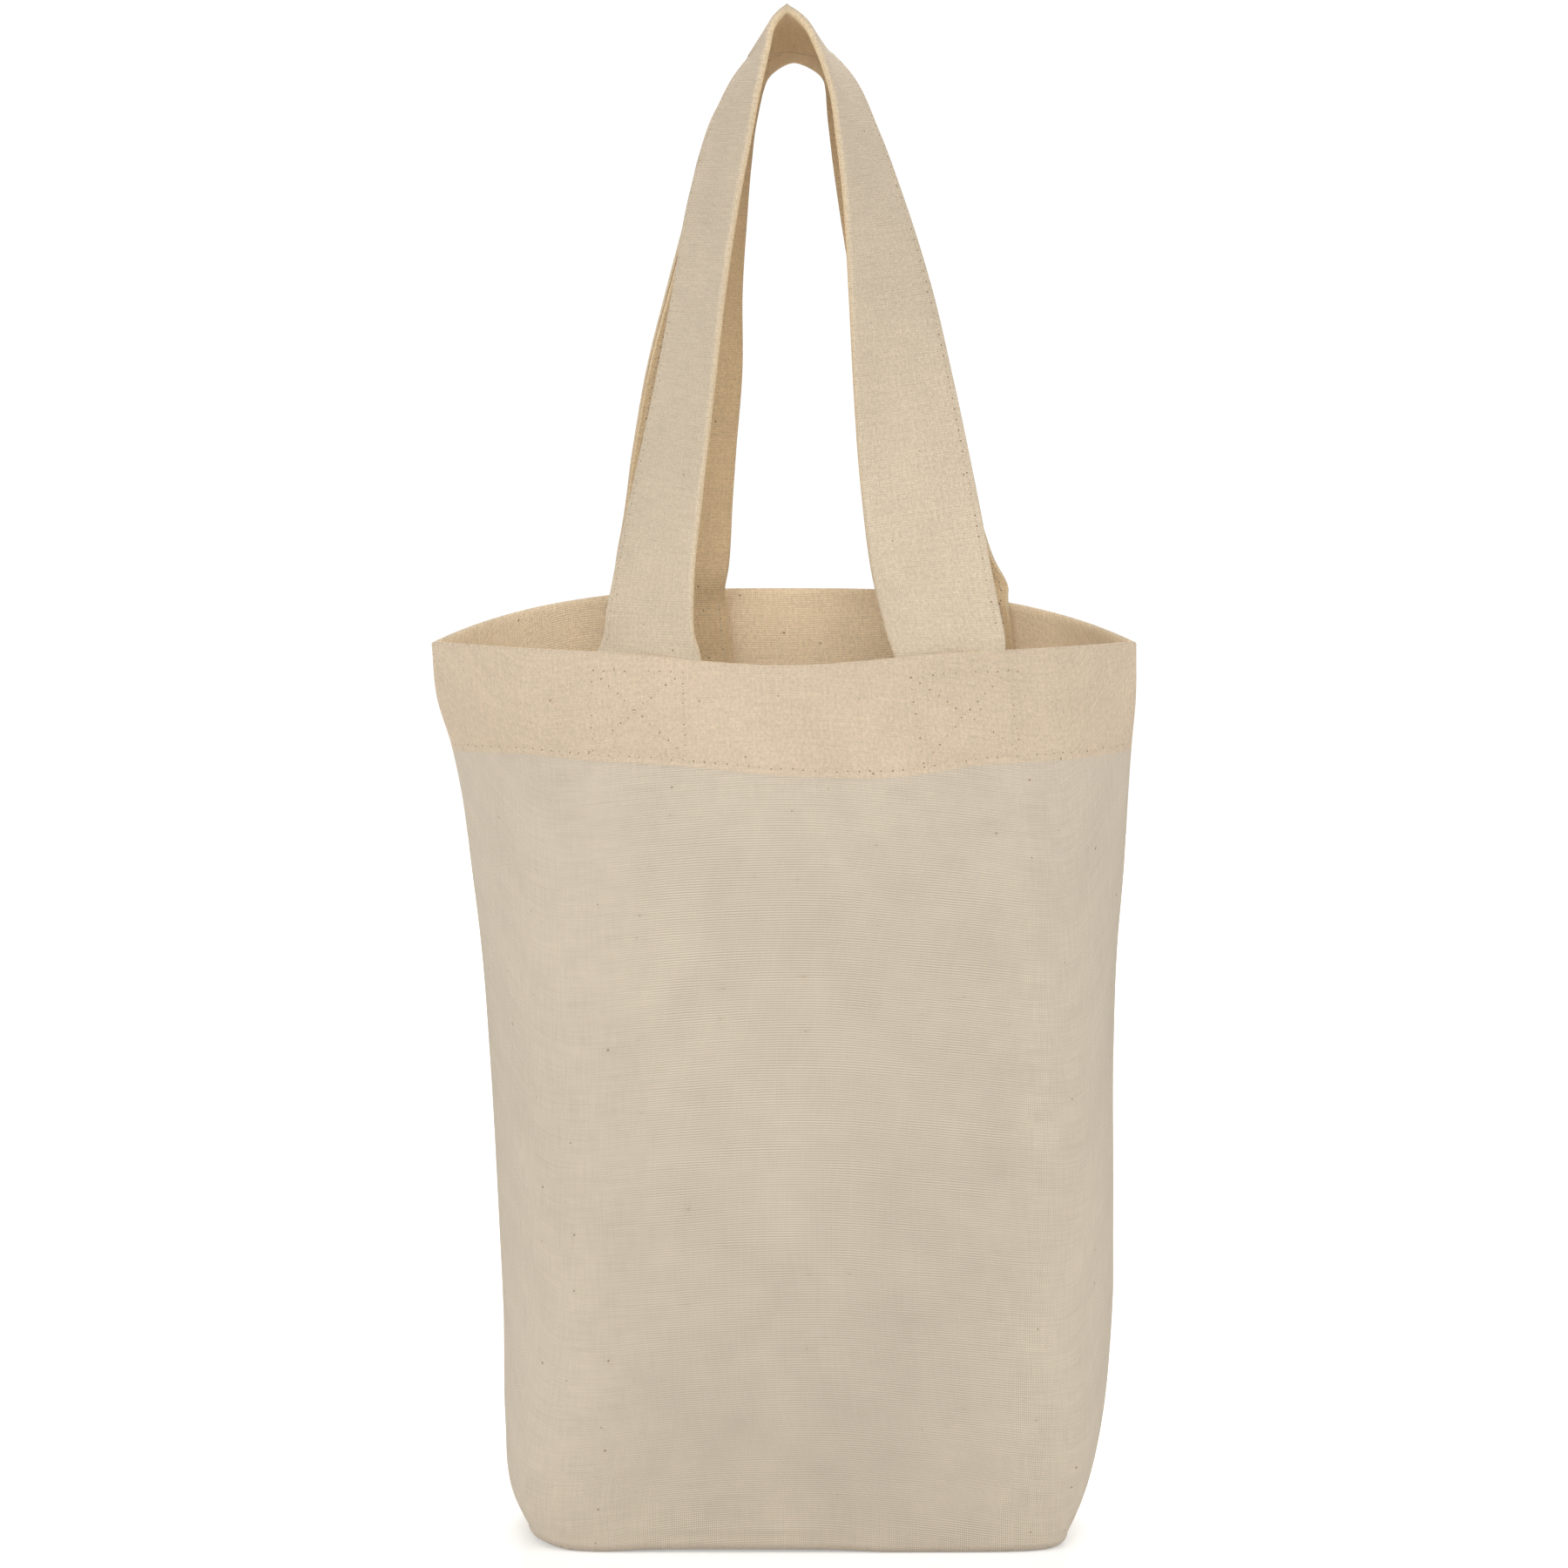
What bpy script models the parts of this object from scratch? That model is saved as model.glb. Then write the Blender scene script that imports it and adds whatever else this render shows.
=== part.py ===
"""A mini tote bag of unbleached cotton: two panels sewn at the sides and under the boxed base, a turned
hem round the mouth, and two folded handles whose ends are sewn inside the hem.

The bag stands on its flat base at z = 0, open at the top, with its front towards -Y. Both handles stand
up and meet at the top, each turned by a quarter of a turn between the mouth and the top of its arch.
All lengths are in metres. A name that ends in share or shares holds parts of the size that it follows.
"""

import math

import bmesh
import bpy
import numpy as np

for thing in list(bpy.data.objects):
    bpy.data.objects.remove(thing, do_unlink=True)

# Cloth and sewing
cloth_thickness = 0.0006
layer_gap = 0.0003
seam_allowance = 0.007
hem_depth = 0.0225

# Body of the bag, measured on its outer face
mouth_width = 0.1514
mouth_depth = 0.056
side_height = 0.1955
front_mouth_dip = 0.0023
back_mouth_rise = 0.0092
body_depth = 0.062
base_edge_radius = 0.003

# Handles
handle_width = 0.025
handle_thickness = 0.0016
handle_stand_clearance = 0.0007
sewn_end_length = 0.0205
sewn_end_slant = 0.0026
front_left_place = -0.0295
front_right_place = 0.0348
back_left_place = -0.0262
back_right_place = 0.0375
front_arch_height = 0.1302
back_arch_height = 0.1165
arch_middle_offset = 0.0005
handles_parting = 0.001
front_arch_tilt = math.radians(10)
back_arch_tilt = math.radians(-8)

# Outline of the two side edges, as shares of the side height and of half the mouth width
outline_height_shares = (0, 0.05, 0.13, 0.25, 0.35, 0.54, 0.66, 0.75, 0.84, 0.89, 0.94, 1)
left_outline_shares = (0.715, 0.780, 0.806, 0.812, 0.822, 0.845, 0.866, 0.892, 0.921, 0.948, 0.986, 1)
right_outline_shares = (0.795, 0.856, 0.916, 0.950, 0.950, 0.946, 0.954, 0.971, 0.982, 0.990, 1, 1)

# Depth of each panel's middle, as shares of half the body depth
depth_height_shares = (0, 0.08, 0.13, 0.25, 0.35, 0.55, 0.77, 1)
body_depth_shares = (0.720, 0.810, 0.865, 0.965, 1, 1, 0.965, mouth_depth / body_depth)

# Squareness of the level sections: a large power is a square corner, and a side power of 1 a sharp edge
power_height_shares = (0, 0.15, 0.45, 0.80, 1)
left_front_powers = (7.0, 4.4, 3.2, 2.7, 2.4)
left_side_powers = (7.0, 2.4, 1.5, 1.15, 1.0)
right_front_powers = (9.0, 4.6, 4.0, 3.0, 2.4)
right_side_powers = (9.0, 3.0, 2.0, 1.35, 1.0)
mouth_rise_power = 2.8
mouth_dip_reach_share = 0.5

# Legs of the handles, each with the share of its way in that it covers at a steady lean, the squareness
# of its bend into the arch, and how far its strap has turned at shares of the arch's height
twist_height_shares = (0, 0.08, 0.18, 0.40, 0.67, 0.90, 1)
front_left_leg = {
    "place": front_left_place,
    "steady_share": 0.62,
    "bend_power": 4,
    "twist_shares": (0, 0.30, 0.49, 0.61, 0.71, 0.86, 1),
}
front_right_leg = {
    "place": front_right_place,
    "steady_share": 0.64,
    "bend_power": 7,
    "twist_shares": (0, 0.02, 0.09, 0.30, 0.56, 0.78, 1),
}
back_left_leg = {
    "place": back_left_place,
    "steady_share": 0.56,
    "bend_power": 5,
    "twist_shares": (0, 0.07, 0.18, 0.38, 0.64, 0.82, 1),
}
back_right_leg = {
    "place": back_right_place,
    "steady_share": 0.60,
    "bend_power": 6,
    "twist_shares": (0, 0.08, 0.20, 0.42, 0.66, 0.85, 1),
}

# Finish of each kind of cloth in the bag
panel_colour = (0.62, 0.53, 0.42, 1)
hem_colour = (0.68, 0.55, 0.41, 1)
handle_colour = (0.65, 0.53, 0.40, 1)
cloth_roughness = 0.95

# Fineness of the meshes
panel_columns = 26
seam_crowding_share = 0.45
wall_rows = 18
row_crowding_share = 0.6
base_rows = 3
turn_rows = 3
sewn_end_columns = 4
sewn_end_rows = 3
handle_columns = 3
leg_stations = 34
crowding_power = 1.5
outline_samples = 240
seam_rows = 12
corner_seam_columns = 10

# Worked out from the sizes above
half_gap = layer_gap / 2
half_mouth = mouth_width / 2
half_depth = body_depth / 2
wall_height = side_height - base_edge_radius
hem_inset = cloth_thickness + layer_gap
sewn_inset = hem_inset + cloth_thickness + layer_gap
seam_thickness = 2 * cloth_thickness
seam_foot = cloth_thickness + layer_gap
seam_top = seam_foot + seam_allowance
centre_line_share = 0.93
corner_seam_share = 0.8


def smooth(at, places, values):
    """A smooth curve through a short table, with each point's slope taken from its neighbours."""
    places = np.asarray(places, float)
    values = np.asarray(values, float)
    slopes = np.gradient(values, places)
    at = np.clip(np.asarray(at, float), places[0], places[-1])
    start = np.clip(np.searchsorted(places, at) - 1, 0, len(places) - 2)
    run = places[start + 1] - places[start]
    t = (at - places[start]) / run
    ease = t * t * (3 - 2 * t)
    leaving = slopes[start] * run * t * (1 - t) ** 2
    arriving = slopes[start + 1] * run * t * t * (1 - t)
    return values[start] * (1 - ease) + values[start + 1] * ease + leaving - arriving


def level_section(height_share, inset):
    """Half of a level section, from the left seam past the middle to the right seam, as x and depth.

    Each side follows (x / half width) ** front power + (depth / half depth) ** side power = 1. A sharp
    edge is drawn in further than a round one, so that the inner face keeps the cloth's thickness.
    """
    deep = half_depth * smooth(height_share, depth_height_shares, body_depth_shares)
    angles = np.linspace(0, math.pi / 2, outline_samples)
    sides = []
    for shares, fronts, edges in (
        (left_outline_shares, left_front_powers, left_side_powers),
        (right_outline_shares, right_front_powers, right_side_powers),
    ):
        wide = half_mouth * smooth(height_share, outline_height_shares, shares)
        front = smooth(height_share, power_height_shares, fronts)
        edge = smooth(height_share, power_height_shares, edges)
        sharpness = np.clip(2 - edge, 0, 1)
        slope = front * deep / wide
        edge_inset = inset * (1 + sharpness * (math.hypot(1, 1 / slope) - 1))
        x = (wide - edge_inset) * np.cos(angles) ** (2 / front)
        depth = half_gap + (deep - inset - half_gap) * np.sin(angles) ** (2 / edge)
        x[-1] = 0
        depth[0] = half_gap
        sides.append((x, depth))
    (left_x, left_depth), (right_x, right_depth) = sides
    x = np.concatenate([-left_x, right_x[-2::-1]])
    depth = np.concatenate([left_depth, right_depth[-2::-1]])
    return x, depth


def along_section(height_share, inset, cloth_shares):
    """Points of a level section at shares of its length, from -1 at the left seam to 1 at the right."""
    x, depth = level_section(height_share, inset)
    lengths = np.concatenate([[0], np.cumsum(np.hypot(np.diff(x), np.diff(depth)))])
    wanted = (np.asarray(cloth_shares) + 1) / 2 * lengths[-1]
    return np.interp(wanted, lengths, x), np.interp(wanted, lengths, depth)


def panel_shares():
    """Places of a panel's columns across its cloth, closer together towards the seams."""
    even = np.linspace(-1, 1, panel_columns + 1)
    return even * (1 - seam_crowding_share) + np.sin(even * math.pi / 2) * seam_crowding_share


def wall_row_shares():
    """Places of a panel's rows up its wall, closer together towards the base and the mouth."""
    even = np.linspace(0, 1, wall_rows + 1)
    crowded = (1 - np.cos(even * math.pi)) / 2
    return even + (crowded - even) * row_crowding_share


def hem_row_shares():
    """Places of a hem's rows: its lower edge, then the panel's own rows above it."""
    lower_edge = 1 - hem_depth / wall_height
    rows = wall_row_shares()
    return np.concatenate([[lower_edge], rows[rows > lower_edge]])


def mouth_height(cloth_shares, side):
    """Height of the mouth's edge: the front dips between the handles, and the back stands higher."""
    across = np.abs(np.asarray(cloth_shares))
    if side > 0:
        return side_height + back_mouth_rise * (1 - across**mouth_rise_power)
    reach = np.clip(across / mouth_dip_reach_share, 0, 1)
    return side_height - front_mouth_dip * np.cos(reach * math.pi / 2) ** 2


def wall_grid(cloth_shares, wall_shares, inset, side):
    """Points of a panel's upright wall. cloth_shares has one row of places for each wall share."""
    points = []
    for row_shares, wall_share in zip(cloth_shares, wall_shares):
        height_share = (base_edge_radius + wall_height * wall_share) / side_height
        x, depth = along_section(height_share, inset, row_shares)
        z = base_edge_radius + (mouth_height(row_shares, side) - base_edge_radius) * wall_share
        points.append(np.stack([x, side * depth, z], axis=1))
    return np.array(points)


def panel_grid(inset, side):
    """A whole panel on one face of its cloth: half the base, the turn at its edge, then the wall."""
    cloth_shares = panel_shares()
    turn_radius = base_edge_radius - inset
    turn_share = base_edge_radius / side_height
    turn = []
    for angle in np.linspace(0, math.pi / 2, turn_rows + 1)[:-1]:
        drawn_in = inset + turn_radius * (1 - math.sin(angle))
        x, depth = along_section(turn_share, drawn_in, cloth_shares)
        z = np.full_like(x, inset + turn_radius * (1 - math.cos(angle)))
        turn.append(np.stack([x, side * depth, z], axis=1))
    edge = turn[0]
    ends = edge[[0, -1], 0] * centre_line_share
    centre = edge.copy()
    centre[:, 0] = np.interp(cloth_shares, (-1, 1), ends)
    centre[:, 1] = side * half_gap
    base = [centre + (edge - centre) * row / base_rows for row in range(base_rows)]
    wall_shares = wall_row_shares()
    wall = wall_grid([cloth_shares] * len(wall_shares), wall_shares, inset, side)
    return np.concatenate([np.array(base), np.array(turn), wall])


def object_from(name, vertices, faces, colour, origin=(0, 0, 0)):
    """A closed mesh object with its own material, whose origin lies at the given place."""
    mesh = bpy.data.meshes.new(name)
    mesh.from_pydata((np.asarray(vertices) - origin).tolist(), [], faces)
    working = bmesh.new()
    working.from_mesh(mesh)
    bmesh.ops.recalc_face_normals(working, faces=working.faces)
    working.to_mesh(mesh)
    working.free()
    mesh.shade_smooth()
    mesh.set_sharp_from_angle(angle=math.radians(40))
    material = bpy.data.materials.new(name + "_cloth")
    material.use_nodes = True
    shader = material.node_tree.nodes["Principled BSDF"]
    shader.inputs["Base Color"].default_value = colour
    shader.inputs["Roughness"].default_value = cloth_roughness
    shader.inputs["Metallic"].default_value = 0
    mesh.materials.append(material)
    piece = bpy.data.objects.new(name, mesh)
    piece.location = origin
    bpy.context.scene.collection.objects.link(piece)
    return piece


def layer(name, first, second, colour, origin=(0, 0, 0)):
    """A layer of cloth between two matching grids of points, closed round its four edges."""
    rows, columns = first.shape[:2]
    count = rows * columns
    index = np.arange(count).reshape(rows, columns)
    corners = (index[:-1, :-1], index[:-1, 1:], index[1:, 1:], index[1:, :-1])
    face = np.stack(corners, axis=-1).reshape(-1, 4)
    border = np.concatenate([index[0], index[1:, -1], index[-1, -2::-1], index[-2:0:-1, 0]])
    ahead = np.roll(border, -1)
    closing = np.stack([border, ahead, ahead + count, border + count], axis=1)
    faces = np.concatenate([face[:, ::-1], face + count, closing]).tolist()
    vertices = np.concatenate([first.reshape(-1, 3), second.reshape(-1, 3)])
    return object_from(name, vertices, faces, colour, origin)


def make_panel(name, side):
    """One panel of the bag: an upright wall and half of the base, in a single thickness of cloth."""
    layer(name, panel_grid(0, side), panel_grid(cloth_thickness, side), panel_colour)


def make_hem(name, side):
    """The mouth's edge, turned down inside the panel."""
    wall_shares = hem_row_shares()
    cloth_shares = [panel_shares()] * len(wall_shares)
    outer = wall_grid(cloth_shares, wall_shares, hem_inset, side)
    inner = wall_grid(cloth_shares, wall_shares, hem_inset + cloth_thickness, side)
    layer(name, outer, inner, hem_colour)


def half_cloth_width():
    """Half of a panel's length round the mouth, from the middle to a seam."""
    x, depth = level_section(1, 0)
    return np.hypot(np.diff(x), np.diff(depth)).sum() / 2


def fold_height(side):
    """Height of the line on which a handle folds over the mouth's edge."""
    rise = back_mouth_rise if side > 0 else 0
    return side_height + rise + handle_stand_clearance


def make_sewn_end(name, side, place):
    """The end of a handle, flat inside the hem, where the stitches hold it."""
    half_width = half_cloth_width()
    wall_shares = np.linspace(1 - sewn_end_length / wall_height, 1, sewn_end_rows + 1)
    slant = np.linspace(1, 0, sewn_end_rows + 1) * math.copysign(sewn_end_slant, place)
    across = np.linspace(-handle_width / 2, handle_width / 2, sewn_end_columns + 1)
    cloth_shares = (place + slant[:, None] + across[None, :]) / half_width
    outer = wall_grid(cloth_shares, wall_shares, sewn_inset, side)
    inner = wall_grid(cloth_shares, wall_shares, sewn_inset + handle_thickness, side)
    outer[-1, :, 2] = fold_height(side) - layer_gap
    inner[-1, :, 2] = fold_height(side) - layer_gap
    layer(name, outer, inner, handle_colour)


def handle_foot(side, place):
    """Where a handle's leg starts, on its middle surface, and the way its width points there."""
    half_width = half_cloth_width()
    ends = (np.array([-1, 0, 1]) * handle_width / 2 + place) / half_width
    inset = sewn_inset + handle_thickness / 2
    points = wall_grid([ends], [1], inset, side)[0]
    foot = points[1].copy()
    foot[1] = points[:, 1].mean()
    foot[2] = fold_height(side)
    run = points[2] - points[0]
    return foot, math.atan2(abs(run[1]), run[0])


def leg_points(foot, top, leg):
    """A leg's middle line, from its foot to the top of the arch, and its height shares.

    It comes in at a steady lean, and by a bend that grows towards the top, where the leg lies level and
    meets the other leg.
    """
    angles = np.linspace(0, math.pi / 2, outline_samples)
    height_shares = np.sin(angles) ** (2 / leg["bend_power"])
    steady_share = leg["steady_share"]
    inward = steady_share * height_shares + (1 - steady_share) * (1 - np.cos(angles))
    x = foot[0] + (top[0] - foot[0]) * inward
    y = foot[1] + (top[1] - foot[1]) * height_shares
    z = foot[2] + (top[2] - foot[2]) * height_shares
    dense = np.stack([x, y, z], axis=1)
    lengths = np.concatenate([[0], np.cumsum(np.linalg.norm(np.diff(dense, axis=0), axis=1))])
    steps = np.arange(leg_stations + 1) / leg_stations
    wanted = (1 - (1 - steps) ** crowding_power) * lengths[-1]
    points = np.stack([np.interp(wanted, lengths, dense[:, axis]) for axis in range(3)], axis=1)
    return points, np.interp(wanted, lengths, height_shares)


def width_directions(height_shares, foot_angle, twist_shares, inward_sign, side, tilt):
    """Which way the strap's width points at each station: along the mouth at the foot, then turning to
    lie across the bag at the top of the arch."""
    turned = smooth(height_shares, twist_height_shares, twist_shares)
    angles = foot_angle + (math.pi / 2 - foot_angle) * turned
    level = np.sin(angles)
    lift = np.full_like(level, math.sin(tilt)) * level**2
    return np.stack([inward_sign * np.cos(angles), side * level * math.cos(tilt), lift], axis=1)


def make_handle(name, side, left_leg, right_leg, arch_height, tilt):
    """A handle from fold line to fold line: a flat strap carried up one leg, over the top and down."""
    pivot = np.array([0, side * mouth_depth / 2, fold_height(side)])
    left_foot, left_angle = handle_foot(side, left_leg["place"])
    right_foot, right_angle = handle_foot(side, right_leg["place"])
    top = np.array(
        [
            arch_middle_offset,
            side * (handle_width + handles_parting) / 2,
            fold_height(side) + arch_height,
        ]
    )
    left, left_shares = leg_points(left_foot, top, left_leg)
    right, right_shares = leg_points(right_foot, top, right_leg)
    line = np.concatenate([left, right[-2::-1]])
    left_widths = width_directions(left_shares, left_angle, left_leg["twist_shares"], 1, side, tilt)
    right_widths = width_directions(right_shares, right_angle, right_leg["twist_shares"], -1, side, tilt)
    widths = np.concatenate([left_widths, right_widths[-2::-1]])
    tangents = np.gradient(line, axis=0)
    tangents[0] = (0, 0, 1)
    tangents[-1] = (0, 0, -1)
    tangents[leg_stations] = (1, 0, 0)
    tangents /= np.linalg.norm(tangents, axis=1, keepdims=True)
    widths -= (widths * tangents).sum(axis=1, keepdims=True) * tangents
    widths /= np.linalg.norm(widths, axis=1, keepdims=True)
    normals = np.cross(tangents, widths)
    across = np.linspace(-handle_width / 2, handle_width / 2, handle_columns + 1)
    middle = line[:, None, :] + widths[:, None, :] * across[None, :, None]
    half_thickness = normals[:, None, :] * handle_thickness / 2
    first = middle + half_thickness
    second = middle - half_thickness
    layer(name, first, second, handle_colour, pivot)


def make_side_seam(name, sign):
    """A side seam's two cut edges, sewn together and standing inside the bag in the seam's plane."""
    wall = wall_grid([panel_shares()[::-sign]] * (wall_rows + 1), wall_row_shares(), cloth_thickness, 1)
    near = slice(0, panel_columns // 2)
    needed = seam_thickness / 2 + layer_gap
    clear = [np.interp(needed, row[near, 1], row[near, 0]) for row in wall]
    heights = np.linspace(seam_top + layer_gap, side_height - hem_depth - layer_gap, seam_rows + 1)
    outer = np.interp(heights, wall[:, 0, 2], clear) - sign * layer_gap
    inner = outer - sign * seam_allowance
    level = np.full_like(heights, -seam_thickness / 2)
    front = np.stack([np.stack([x, level, heights], axis=1) for x in (outer, inner)], axis=1)
    back = front * (1, -1, 1)
    layer(name, front, back, panel_colour)


def end_curve(sign, inset, shares):
    """The base's end at an inset, from the front round to the back, as x and y."""
    height_share = base_edge_radius / side_height
    outline = left_outline_shares if sign < 0 else right_outline_shares
    fronts = left_front_powers if sign < 0 else right_front_powers
    edges = left_side_powers if sign < 0 else right_side_powers
    wide = half_mouth * smooth(height_share, outline_height_shares, outline) - inset
    deep = half_depth * smooth(height_share, depth_height_shares, body_depth_shares) - inset
    front = smooth(height_share, power_height_shares, fronts)
    edge = smooth(height_share, power_height_shares, edges)
    return sign * wide * (1 - np.abs(shares) ** edge) ** (1 / front), deep * shares


def make_corner_seam(name, sign):
    """The seam that boxes one end of the base, with its cut edges standing on the base inside."""
    shares = np.linspace(-corner_seam_share, corner_seam_share, corner_seam_columns + 1)
    heights = (seam_foot, seam_top)
    grids = []
    for inset in (base_edge_radius - layer_gap, base_edge_radius - layer_gap + seam_thickness):
        x, y = end_curve(sign, inset, shares)
        grids.append(np.array([np.stack([x, y, np.full_like(x, height)], axis=1) for height in heights]))
    layer(name, grids[0], grids[1], panel_colour)


def make_bottom_seam(name):
    """The seam along the middle of the base, with its cut edges standing up inside."""
    end_inset = base_edge_radius + seam_thickness
    left, _ = end_curve(-1, end_inset, np.zeros(1))
    right, _ = end_curve(1, end_inset, np.zeros(1))
    front = np.array(
        [
            [(x, -seam_thickness / 2, height) for x in (left[0], right[0])]
            for height in (seam_foot, seam_top)
        ]
    )
    layer(name, front, front * (1, -1, 1), panel_colour)


make_panel("front_panel", -1)
make_panel("back_panel", 1)
make_hem("front_hem", -1)
make_hem("back_hem", 1)
make_side_seam("left_side_seam", -1)
make_side_seam("right_side_seam", 1)
make_corner_seam("left_corner_seam", -1)
make_corner_seam("right_corner_seam", 1)
make_bottom_seam("bottom_seam")
make_sewn_end("front_handle_left_end", -1, front_left_place)
make_sewn_end("front_handle_right_end", -1, front_right_place)
make_sewn_end("back_handle_left_end", 1, back_left_place)
make_sewn_end("back_handle_right_end", 1, back_right_place)
make_handle("front_handle", -1, front_left_leg, front_right_leg, front_arch_height, front_arch_tilt)
make_handle("back_handle", 1, back_left_leg, back_right_leg, back_arch_height, back_arch_tilt)
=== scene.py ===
# %% [markdown]
# A mini tote bag, dressed for its portrait.
#
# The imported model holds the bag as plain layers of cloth: two panels, a turned hem, sewn seams and two
# folded handles, all at their real size. This lesson puts finished cloth in the place of each plain layer.
# Every surface is worked out as a grid of points with numpy, given a weave, and sewn with real stitches.
# Lengths are in metres, the front of the bag looks towards -Y, and +Z is up.

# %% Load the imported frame
import math

import bpy
import numpy as np
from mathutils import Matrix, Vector


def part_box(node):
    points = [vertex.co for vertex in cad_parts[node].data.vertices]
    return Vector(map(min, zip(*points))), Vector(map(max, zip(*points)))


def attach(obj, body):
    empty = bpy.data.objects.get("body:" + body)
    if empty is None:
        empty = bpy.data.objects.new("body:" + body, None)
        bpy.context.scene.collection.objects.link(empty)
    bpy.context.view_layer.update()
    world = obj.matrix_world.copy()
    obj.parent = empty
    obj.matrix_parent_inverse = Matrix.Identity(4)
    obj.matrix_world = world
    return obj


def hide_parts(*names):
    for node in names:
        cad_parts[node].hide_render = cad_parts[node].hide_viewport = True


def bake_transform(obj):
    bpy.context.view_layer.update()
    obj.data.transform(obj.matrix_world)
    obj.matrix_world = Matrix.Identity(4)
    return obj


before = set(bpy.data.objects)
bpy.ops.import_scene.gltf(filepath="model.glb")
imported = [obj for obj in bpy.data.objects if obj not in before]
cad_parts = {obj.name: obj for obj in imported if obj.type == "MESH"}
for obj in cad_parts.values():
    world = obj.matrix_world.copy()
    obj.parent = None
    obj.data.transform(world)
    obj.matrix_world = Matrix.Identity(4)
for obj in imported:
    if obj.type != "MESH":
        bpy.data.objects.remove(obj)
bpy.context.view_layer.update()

# %% [markdown]
# The floor and the light.
#
# The bag was photographed in soft, even light before pure white. A white ground could be made with strong
# lamps, but they would bleach the cloth too. So the ground is white only for the camera and for mirrors:
# the floor and the world ask what kind of ray has reached them. All other rays meet a pale floor and a
# grey sky, at a level where a colour renders about as it is written. The floor adds some real light from
# the lamps to its own glow, so the soft shadow of the bag stays on it.

# %% Nodes with their inputs
def wired(tree, kind, inputs=(), **settings):
    """A new node with its settings. Each input given is linked to another node's output, or set."""
    node = tree.nodes.new(kind)
    for setting, value in settings.items():
        setattr(node, setting, value)
    for socket, value in dict(inputs).items():
        if isinstance(value, bpy.types.NodeSocket):
            tree.links.new(value, node.inputs[socket])
        else:
            node.inputs[socket].default_value = value
    return node


def seen_directly(tree):
    """1 for camera, mirror and glass rays, and 0 for the rays that carry light between surfaces."""
    path = wired(tree, "ShaderNodeLightPath")
    reached = path.outputs["Is Camera Ray"]
    for kind in ("Is Glossy Ray", "Is Transmission Ray"):
        either = {0: reached, 1: path.outputs[kind]}
        reached = wired(tree, "ShaderNodeMath", either, operation="MAXIMUM").outputs[0]
    return reached


def two_ways(tree, seen, lighting):
    """One shader for what the camera and mirrors see, and another for the light between surfaces."""
    ways = {0: seen_directly(tree), 1: lighting.outputs[0], 2: seen.outputs[0]}
    return wired(tree, "ShaderNodeMixShader", ways).outputs[0]


# %% A world that is white to the camera
sky_level = 0.22
white_level = 1.05
white = (1, 1, 1, 1)
world = bpy.data.worlds.new("studio")
bpy.context.scene.world = world
world.use_nodes = True
sky = world.node_tree
sky.nodes.clear()
grey_sky = wired(sky, "ShaderNodeBackground", {"Color": white, "Strength": sky_level})
white_sky = wired(sky, "ShaderNodeBackground", {"Color": white, "Strength": white_level})
wired(sky, "ShaderNodeOutputWorld", {"Surface": two_ways(sky, white_sky, grey_sky)})
print("sky level for the light on the bag:", sky_level)

# %% A pale floor that keeps the shadow
floor_reach = 1.1
floor_glow = 0.36
floor_colour = (0.86, 0.85, 0.83, 1)
bpy.ops.mesh.primitive_circle_add(vertices=96, radius=floor_reach, fill_type="NGON", location=(0, 0, 0))
floor = bpy.context.object
floor.name = "floor"
floor_finish = bpy.data.materials.new("pale_floor")
floor_finish.use_nodes = True
floor_tree = floor_finish.node_tree
floor_tree.nodes.clear()
floor_diffuse = wired(floor_tree, "ShaderNodeBsdfDiffuse", {"Color": floor_colour})
floor_light = wired(floor_tree, "ShaderNodeEmission", {"Strength": floor_glow})
lit_and_glowing = {0: floor_diffuse.outputs[0], 1: floor_light.outputs[0]}
floor_seen = wired(floor_tree, "ShaderNodeAddShader", lit_and_glowing)
floor_surface = two_ways(floor_tree, floor_seen, floor_diffuse)
wired(floor_tree, "ShaderNodeOutputMaterial", {"Surface": floor_surface})
floor.data.materials.append(floor_finish)


# %% Four soft lamps
def soft_lamp(name, place, aim, size, watts):
    """A square lamp at a place, turned to face the aim."""
    lamp = bpy.data.lights.new(name, "AREA")
    lamp.size = size
    lamp.energy = watts
    holder = bpy.data.objects.new(name, lamp)
    holder.location = place
    holder.rotation_euler = (Vector(aim) - Vector(place)).to_track_quat("-Z", "Y").to_euler()
    bpy.context.scene.collection.objects.link(holder)
    return holder


bag_middle = (0, 0, 0.15)
lamps = [
    soft_lamp("front_lamp", (-0.05, -1.25, 1.00), bag_middle, 1.0, 10.0),
    soft_lamp("left_lamp", (-1.15, -0.62, 0.55), bag_middle, 0.8, 6.8),
    soft_lamp("right_lamp", (1.15, -0.62, 0.55), bag_middle, 0.8, 6.4),
    soft_lamp("back_lamp", (0.10, 1.30, 1.10), bag_middle, 1.0, 22.0),
]
print("lamps:", ", ".join(f"{lamp.name} {lamp.data.energy:.1f} W" for lamp in lamps))

# %% The camera
camera_data = bpy.data.cameras.new("camera")
camera_data.lens = 102.8
camera_data.sensor_width = 36
camera_data.clip_end = 50
camera_pitch = math.radians(7.4)
camera = bpy.data.objects.new("camera", camera_data)
camera.location = (0, -0.958, 0.289)
camera.rotation_euler = (math.pi / 2 - camera_pitch, 0, 0)
bpy.context.scene.collection.objects.link(camera)
bpy.context.scene.camera = camera
bpy.context.scene.view_settings.view_transform = "Standard"
print("camera at", tuple(round(value, 3) for value in camera.location))

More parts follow.
